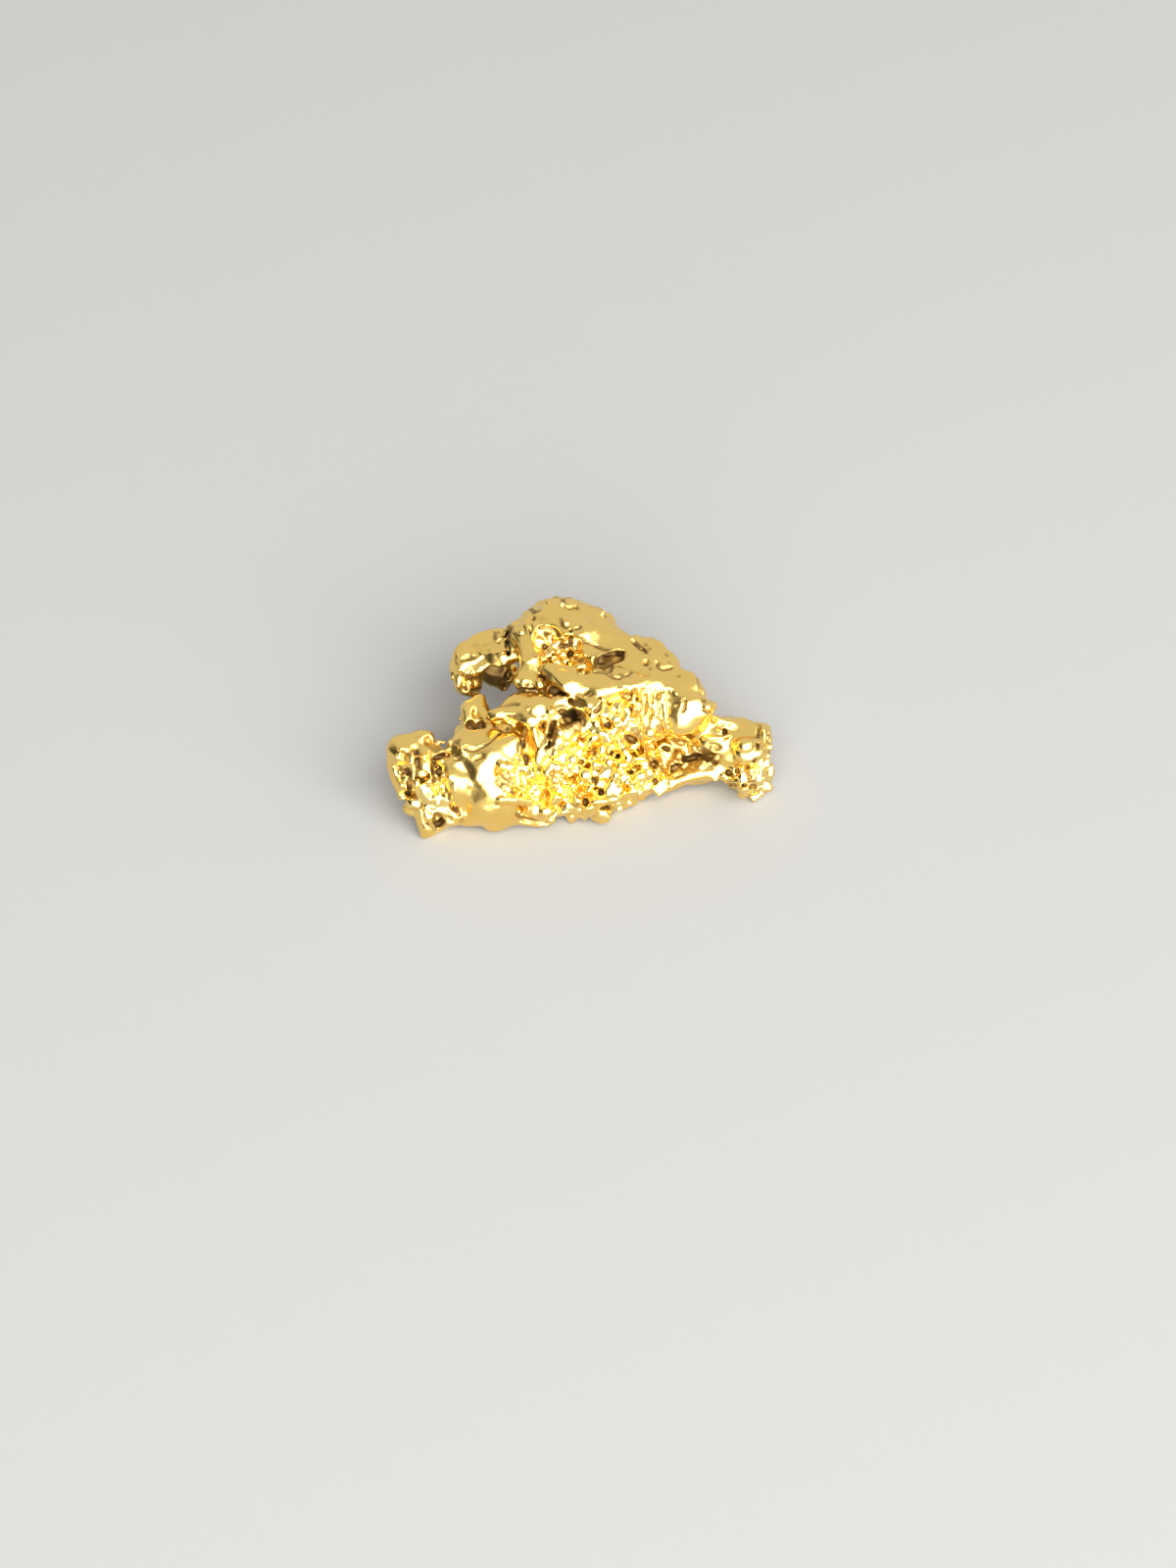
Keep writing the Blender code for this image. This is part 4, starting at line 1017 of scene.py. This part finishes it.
def largestSkin(points, quads):
    # each point takes the lowest number among its neighbours until nothing changes
    edges = edgesOf(quads)
    label = np.arange(len(points))
    while True:
        lower = label.copy()
        np.minimum.at(lower, edges[:, 0], label[edges[:, 1]])
        np.minimum.at(lower, edges[:, 1], label[edges[:, 0]])
        lower = lower[lower]
        if (lower == label).all():
            break
        label = lower
    keep = label == np.bincount(label).argmax()
    renumber = np.cumsum(keep) - 1
    return points[keep], renumber[quads[keep[quads[:, 0]]]]


def neighbourMean(values, edges):
    # mean of each point's neighbours, for one or more columns
    n = np.bincount(edges[:, 0], minlength=len(values)) + np.bincount(edges[:, 1], minlength=len(values))
    total = np.stack([
        np.bincount(edges[:, 0], column[edges[:, 1]], len(values))
        + np.bincount(edges[:, 1], column[edges[:, 0]], len(values)) for column in values.T
    ], 1)
    return total / n[:, None]


def pointNormals(points, quads):
    # cross product of each quad's diagonals, summed at its corners
    a, b, c, d = (points[quads[:, i]] for i in range(4))
    face = np.cross(c - a, d - b)
    total = np.zeros_like(points)
    for i in range(4):
        for axis in range(3):
            total[:, axis] += np.bincount(quads[:, i], face[:, axis], len(points))
    return total / (np.linalg.norm(total, axis=1, keepdims=True) + 1e-12)


def deepShare(clay, points):
    # share of solid round a point: the mean over a cube, taken three times, is half on a flat skin
    # and more in a hollow
    solid = (clay.skin < 0).astype(np.float32)
    reach = int(round(cavityShade["reach"] / clay.cell))
    wide = 2 * reach + 1
    for axis in (0, 1, 2) * 3:
        size = solid.shape[axis]
        before = np.zeros_like(solid.take([0] * (reach + 1), axis))
        after = np.zeros_like(solid.take([0] * reach, axis))
        total = np.cumsum(np.concatenate([before, solid, after], axis), axis)
        solid = (total.take(np.arange(wide, wide + size), axis) - total.take(np.arange(size), axis)) / wide
    return readGrid(clay, solid, points)


def zoneShare(zone, points, edge):
    # 1 in the zone, fading to 0 a tenth outside it
    return np.clip((1.1 - np.sqrt(zoneSquare(zone, points))) / edge, 0, 1)


def crumbShare(points):
    # 1 in the middle of a crumb zone, 0 outside all of them
    return np.max([zoneShare(zone, points, crumbs["zoneEdge"]) for zone, *_ in crumbZones.values()], 0)


def paintedShadeShare(clay, points):
    # painted shade of the cuts and of the shaded hollows, whichever is more
    dirt = readGrid(clay, clay.dirt, points)
    for zone, share in shadedZones.values():
        dirt = np.maximum(dirt, share * zoneShare(zone, points, cavityShade["zoneEdge"]))
    return dirt


def relaxed(points, edges, times, share):
    # each point moves a share of the way to the mean of its neighbours
    for _ in range(times):
        points = points + share * (neighbourMean(points, edges) - points)
    return points


def hollowShare(points, quads, edges):
    # cells that a point lies below the smoothed skin: above 0 in pits, below 0 on tips
    smooth = relaxed(points, edges, nugget["hollowTimes"], nugget["hollowShare"])
    hollow = ((smooth - points) * pointNormals(points, quads)).sum(1, keepdims=True) / nugget["cell"]
    for _ in range(nugget["hollowBlur"]):
        hollow = neighbourMean(hollow, edges)
    return hollow[:, 0]


def thinOut(piece, wanted):
    # merges the shortest and flattest edges first, so crumbs keep their shape
    count = sum(len(face.vertices) - 2 for face in piece.data.polygons)
    if count <= wanted:
        return
    thin = piece.modifiers.new("thin", "DECIMATE")
    thin.ratio = wanted / count
    thin.use_collapse_triangulate = True
    bpy.context.view_layer.update()
    thinned = bpy.data.meshes.new_from_object(piece.evaluated_get(bpy.context.evaluated_depsgraph_get()))
    piece.modifiers.clear()
    thick, piece.data = piece.data, thinned
    bpy.data.meshes.remove(thick)
    thinned.name = "goldNugget"
    corners = np.zeros(len(thinned.loops), int)
    thinned.loops.foreach_get("edge_index", corners)
    sides = np.bincount(corners, minlength=len(thinned.edges))
    print("thinned to", len(thinned.polygons), "triangles, edges without two sides:", int((sides != 2).sum()))


def solidMiddle():
    # the lumps' place over the origin, in mm, the same as the solid's
    return np.array((*place["solidMiddle"], 0.0))


def easedIntoBox(points):
    # the last easeReach mm before each side of the solid's box is squeezed so that nothing stands out of it
    boxLow, boxHigh = (1000 * np.array(corner) + solidMiddle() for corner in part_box("nugget"))
    low, high = points.min(0), points.max(0)
    print("before easing, mm past the solid's box:", boxLow - low, high - boxHigh)
    eased = points.copy()
    for axis in range(3):
        near = (boxLow[axis] + place["easeReach"], boxHigh[axis] - place["easeReach"])
        stops = (low[axis], *near, high[axis])
        wanted = (boxLow[axis] + place["inset"], *near, boxHigh[axis] - place["inset"])
        eased[:, axis] = np.interp(points[:, axis], stops, wanted)
    return eased


def makeNugget():
    clay = modelClay()
    skin = fillPinches(clay.skin, nugget["pinchDepth"] * nugget["cell"])
    points, quads = largestSkin(*surfaceNet(skin, clay.low, clay.cell))
    edges = edgesOf(quads)
    points = relaxed(points, edges, nugget["relaxTimes"], nugget["relaxShare"])
    print("skin:", len(points), "points,", 2 * len(quads), "triangles")
    shares = {
        "crumby": crumbShare(points),
        "hollow": hollowShare(points, quads, edges),
        # painted shade of cuts and hollows, and the share of solid that sets the painted shade in deep hollows
        "dirt": paintedShadeShare(clay, points),
        "deep": deepShare(clay, points),
    }
    placed = (easedIntoBox(points) - solidMiddle()) / 1000
    mesh = bpy.data.meshes.new("goldNugget")
    mesh.from_pydata(placed.tolist(), [], quads.tolist())
    for name, values in shares.items():
        mesh.attributes.new(name, "FLOAT", "POINT").data.foreach_set("value", values.astype(np.float32))
    piece = bpy.data.objects.new("goldNugget", mesh)
    bpy.context.scene.collection.objects.link(piece)
    thinOut(piece, nugget["triangles"])
    piece.data.shade_smooth()
    return piece


class Wire:
    # a shader value that Python's signs can reckon with
    def __init__(self, tree, socket):
        self.tree = tree
        self.socket = socket

    def reckon(self, operation, other, swapped=False):
        values = (other, self) if swapped else (self, other)
        return self.tree.node("ShaderNodeMath", {"operation": operation}, {0: values[0], 1: values[1]})

    def __add__(self, other):
        return self.reckon("ADD", other)

    def __radd__(self, other):
        return self.reckon("ADD", other, True)

    def __sub__(self, other):
        return self.reckon("SUBTRACT", other)

    def __rsub__(self, other):
        return self.reckon("SUBTRACT", other, True)

    def __mul__(self, other):
        return self.reckon("MULTIPLY", other)

    def __rmul__(self, other):
        return self.reckon("MULTIPLY", other, True)

    def clamped(self):
        return self.tree.node("ShaderNodeClamp", {}, {"Value": self})


class Tree:
    def __init__(self, nodeTree):
        self.tree = nodeTree

    def node(self, kind, settings, inputs, output=0):
        made = self.tree.nodes.new(kind)
        for name, value in settings.items():
            if name == "stops":
                ramp = made.color_ramp
                while len(ramp.elements) < len(value):
                    ramp.elements.new(0.5)
                for element, (position, colour) in zip(ramp.elements, value):
                    element.position = position
                    element.color = colour
            else:
                setattr(made, name, value)
        for name, value in inputs.items():
            if isinstance(value, Wire):
                self.tree.links.new(value.socket, made.inputs[name])
            else:
                made.inputs[name].default_value = value
        return Wire(self, made.outputs[output]) if len(made.outputs) else None

    def mix(self, share, first, second):
        return self.node("ShaderNodeMix", {"data_type": "RGBA"}, {0: share, 6: first, 7: second}, 2)


def freshMaterial(name):
    material = bpy.data.materials.new(name)
    material.use_nodes = True
    material.node_tree.nodes.clear()
    return material, Tree(material.node_tree)


gold = {
    "satin": (0.95, 0.66, 0.19, 1),         # worn skin
    "deep": (0.90, 0.60, 0.15, 1),          # darker, more orange gold in pits and between crumbs: painted shade
    "fresh": (0.96, 0.75, 0.30, 1),         # on the crumbs
    "freshShare": 0.45,
    "satinRoughness": 0.22,
    "crumbRoughness": 0.14,
    "pitRoughness": 0.34,
    "patchRoughness": 0.10,                 # spread of the roughness from patch to patch
    "dirt": (0.19, 0.115, 0.045, 1),        # brown painted shade in cracks, pits and hollows
    "paintedShadeRoughness": 0.55,
    "noises": {"patches": (1.6, 4.0), "grain": (26.0, 3.0), "waves": (6.0, 2.0)},   # bumps to a mm, detail
    "bumpMm": 0.008,                        # height of the fine relief
    "bumpStrength": 0.35,
    "grainShare": 0.5,                      # of the relief, beside the waves
    "shadeEdgeSpread": 0.08,                     # how far patches shift the edge of the painted shade in deep hollows
    "cavityShadeShare": (0.85, 0.45),              # most painted shade in a deep hollow, and how much less on crumbs
    "paintedShadeShare": (0.55, 0.9, 0.1),          # painted shade of cuts and hollows: least, how much patches add, and what is taken off all
    "pitShare": (2.2, 0.5),                 # how fast pits darken to the deep colour, a painted shade, and how far patches shift it
}


def goldMaterial():
    material, tree = freshMaterial("native gold")
    spot = tree.node("ShaderNodeTexCoord", {}, {}, "Object")
    mm = tree.node("ShaderNodeMapping", {}, {"Vector": spot, "Scale": (1000, 1000, 1000)})
    crumby, hollow, dirt, deep = (
        tree.node("ShaderNodeAttribute", {"attribute_name": name}, {}, "Fac")
        for name in ("crumby", "hollow", "dirt", "deep"))
    patches, grain, waves = (
        tree.node("ShaderNodeTexNoise", {}, {"Vector": mm, "Scale": scale, "Detail": detail}, "Fac")
        for scale, detail in gold["noises"].values())
    patch = patches - 0.5
    sunk = (deep + patch * gold["shadeEdgeSpread"] - cavityShade["begins"]) * (1 / (cavityShade["full"] - cavityShade["begins"]))
    mostShade, lessOnCrumbs = gold["cavityShadeShare"]
    least, added, takenOff = gold["paintedShadeShare"]
    # painted shade: brown in deep hollows, less on crumbs, and in cuts and shaded zones
    cavityShaded = sunk.clamped() * (mostShade - crumby * lessOnCrumbs)
    shadeCover = (dirt * (least + patches * added) - takenOff + cavityShaded).clamped()
    steep, shift = gold["pitShare"]
    # darker, more orange gold in pits: painted shade
    pit = (hollow * steep + patch * shift).clamped()
    skin = tree.mix(crumby * gold["freshShare"], gold["satin"], gold["fresh"])
    colour = tree.mix(shadeCover, tree.mix(pit, skin, gold["deep"]), gold["dirt"])
    satin = gold["satinRoughness"]
    polish = satin + (gold["crumbRoughness"] - satin) * crumby
    worn = polish + (gold["pitRoughness"] - satin) * pit + patch * gold["patchRoughness"]
    rough = (worn + (gold["paintedShadeRoughness"] - worn) * shadeCover).clamped()
    relief = tree.node("ShaderNodeBump", {}, {
        "Height": grain * gold["grainShare"] + waves, "Strength": gold["bumpStrength"],
        "Distance": gold["bumpMm"] / 1000}, "Normal")
    shader = tree.node("ShaderNodeBsdfPrincipled", {}, {
        "Base Color": colour, "Roughness": rough, "Normal": relief, "Metallic": 1.0})
    tree.node("ShaderNodeOutputMaterial", {}, {"Surface": shader})
    return material


stage = {
    "floorColour": (0.36, 0.36, 0.355, 1),
    "floorRoughness": 0.9,
    "floorSize": 3.0,                       # metres
    "skyColour": (0.74, 0.73, 0.71, 1),     # what the worn top mirrors
    "frontColour": (0.42, 0.42, 0.42, 1),   # round the window, behind the viewer
    "frontSide": (0, -1, 0.3),
    "frontEdges": (0.1, 0.7),               # cosines at which the grey front begins and is full
    "dimColour": (0.06, 0.06, 0.05, 1),     # the dim side, low on the left
    "dimSide": (-0.96, -0.25, -0.02),
    "dimEdges": (0.55, 0.88),
    "lampAim": (0, 0, 0.0015),              # metres, the nugget's middle
}


def makeFloor():
    half = stage["floorSize"] / 2
    mesh = bpy.data.meshes.new("floor")
    mesh.from_pydata([(-half, -half, 0), (half, -half, 0), (half, half, 0), (-half, half, 0)], [], [(0, 1, 2, 3)])
    floor = bpy.data.objects.new("floor", mesh)
    bpy.context.scene.collection.objects.link(floor)
    material, tree = freshMaterial("floor")
    shader = tree.node("ShaderNodeBsdfPrincipled", {}, {
        "Base Color": stage["floorColour"], "Roughness": stage["floorRoughness"]})
    tree.node("ShaderNodeOutputMaterial", {}, {"Surface": shader})
    mesh.materials.append(material)


def makeSky():
    # pale behind and above, greyer in front, dark towards the dim side
    world = bpy.data.worlds.new("studio")
    bpy.context.scene.world = world
    world.use_nodes = True
    world.node_tree.nodes.clear()
    tree = Tree(world.node_tree)
    way = tree.node("ShaderNodeTexCoord", {}, {}, "Generated")

    def towards(side, begins, full):
        dot = tree.node("ShaderNodeVectorMath", {"operation": "DOT_PRODUCT"},
                        {0: way, 1: Vector(side).normalized()}, "Value")
        return tree.node("ShaderNodeMapRange", {"interpolation_type": "SMOOTHSTEP"},
                         {"Value": dot, "From Min": begins, "From Max": full})

    front = towards(stage["frontSide"], *stage["frontEdges"])
    dim = towards(stage["dimSide"], *stage["dimEdges"])
    pale = tree.mix(front, stage["skyColour"], stage["frontColour"])
    colour = tree.mix(dim, pale, stage["dimColour"])
    glow = tree.node("ShaderNodeBackground", {}, {"Color": colour, "Strength": 1.0})
    tree.node("ShaderNodeOutputWorld", {}, {"Surface": glow})


# Each lamp: azimuth from the front towards +X, elevation (degrees), distance, side (metres), watts, colour.
lamps = {
    "window": (22, 23, 0.20, 0.38, 2.6, (1, 0.99, 0.97)),
    "sideGlow": (100, 25, 0.25, 0.10, 0.08, (1, 0.97, 0.92)),
}


def makeLamps():
    for name, (azimuth, elevation, distance, side, watts, colour) in lamps.items():
        a, e = math.radians(azimuth), math.radians(elevation)
        away = Vector((math.sin(a) * math.cos(e), -math.cos(a) * math.cos(e), math.sin(e)))
        light = bpy.data.lights.new(name, "AREA")
        light.size, light.energy, light.color = side, watts, colour
        holder = bpy.data.objects.new(name, light)
        bpy.context.scene.collection.objects.link(holder)
        turned = away.to_track_quat("Z", "Y").to_matrix().to_4x4()
        holder.matrix_world = Matrix.Translation(Vector(stage["lampAim"]) + distance * away) @ turned


def makeCamera():
    # looks down by viewRise along +Y; the frame's middle is set off from the aim by its pixels
    right, up, back = (Vector(way) for way in viewWays())
    aim = (Vector(viewPoint()[0]) - Vector(solidMiddle())) / 1000
    lens = bpy.data.cameras.new("camera")
    half = camera["frame"][1] / 2 / camera["mmToPixel"] / 1000
    lens.lens = lens.sensor_width / 2 * camera["distance"] / half
    lens.clip_start, lens.clip_end = camera["clip"]
    holder = bpy.data.objects.new("camera", lens)
    bpy.context.scene.collection.objects.link(holder)
    turned = Matrix((right, up, back)).transposed().to_4x4()
    holder.matrix_world = Matrix.Translation(aim + camera["distance"] * back) @ turned
    bpy.context.scene.camera = holder


bpy.context.scene.view_settings.view_transform = "Standard"
piece = makeNugget()
piece.data.materials.append(goldMaterial())
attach(piece, "root")
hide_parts("nugget")
print("nugget placed")
makeFloor()
makeSky()
makeLamps()
makeCamera()
print("floor, light and camera placed")
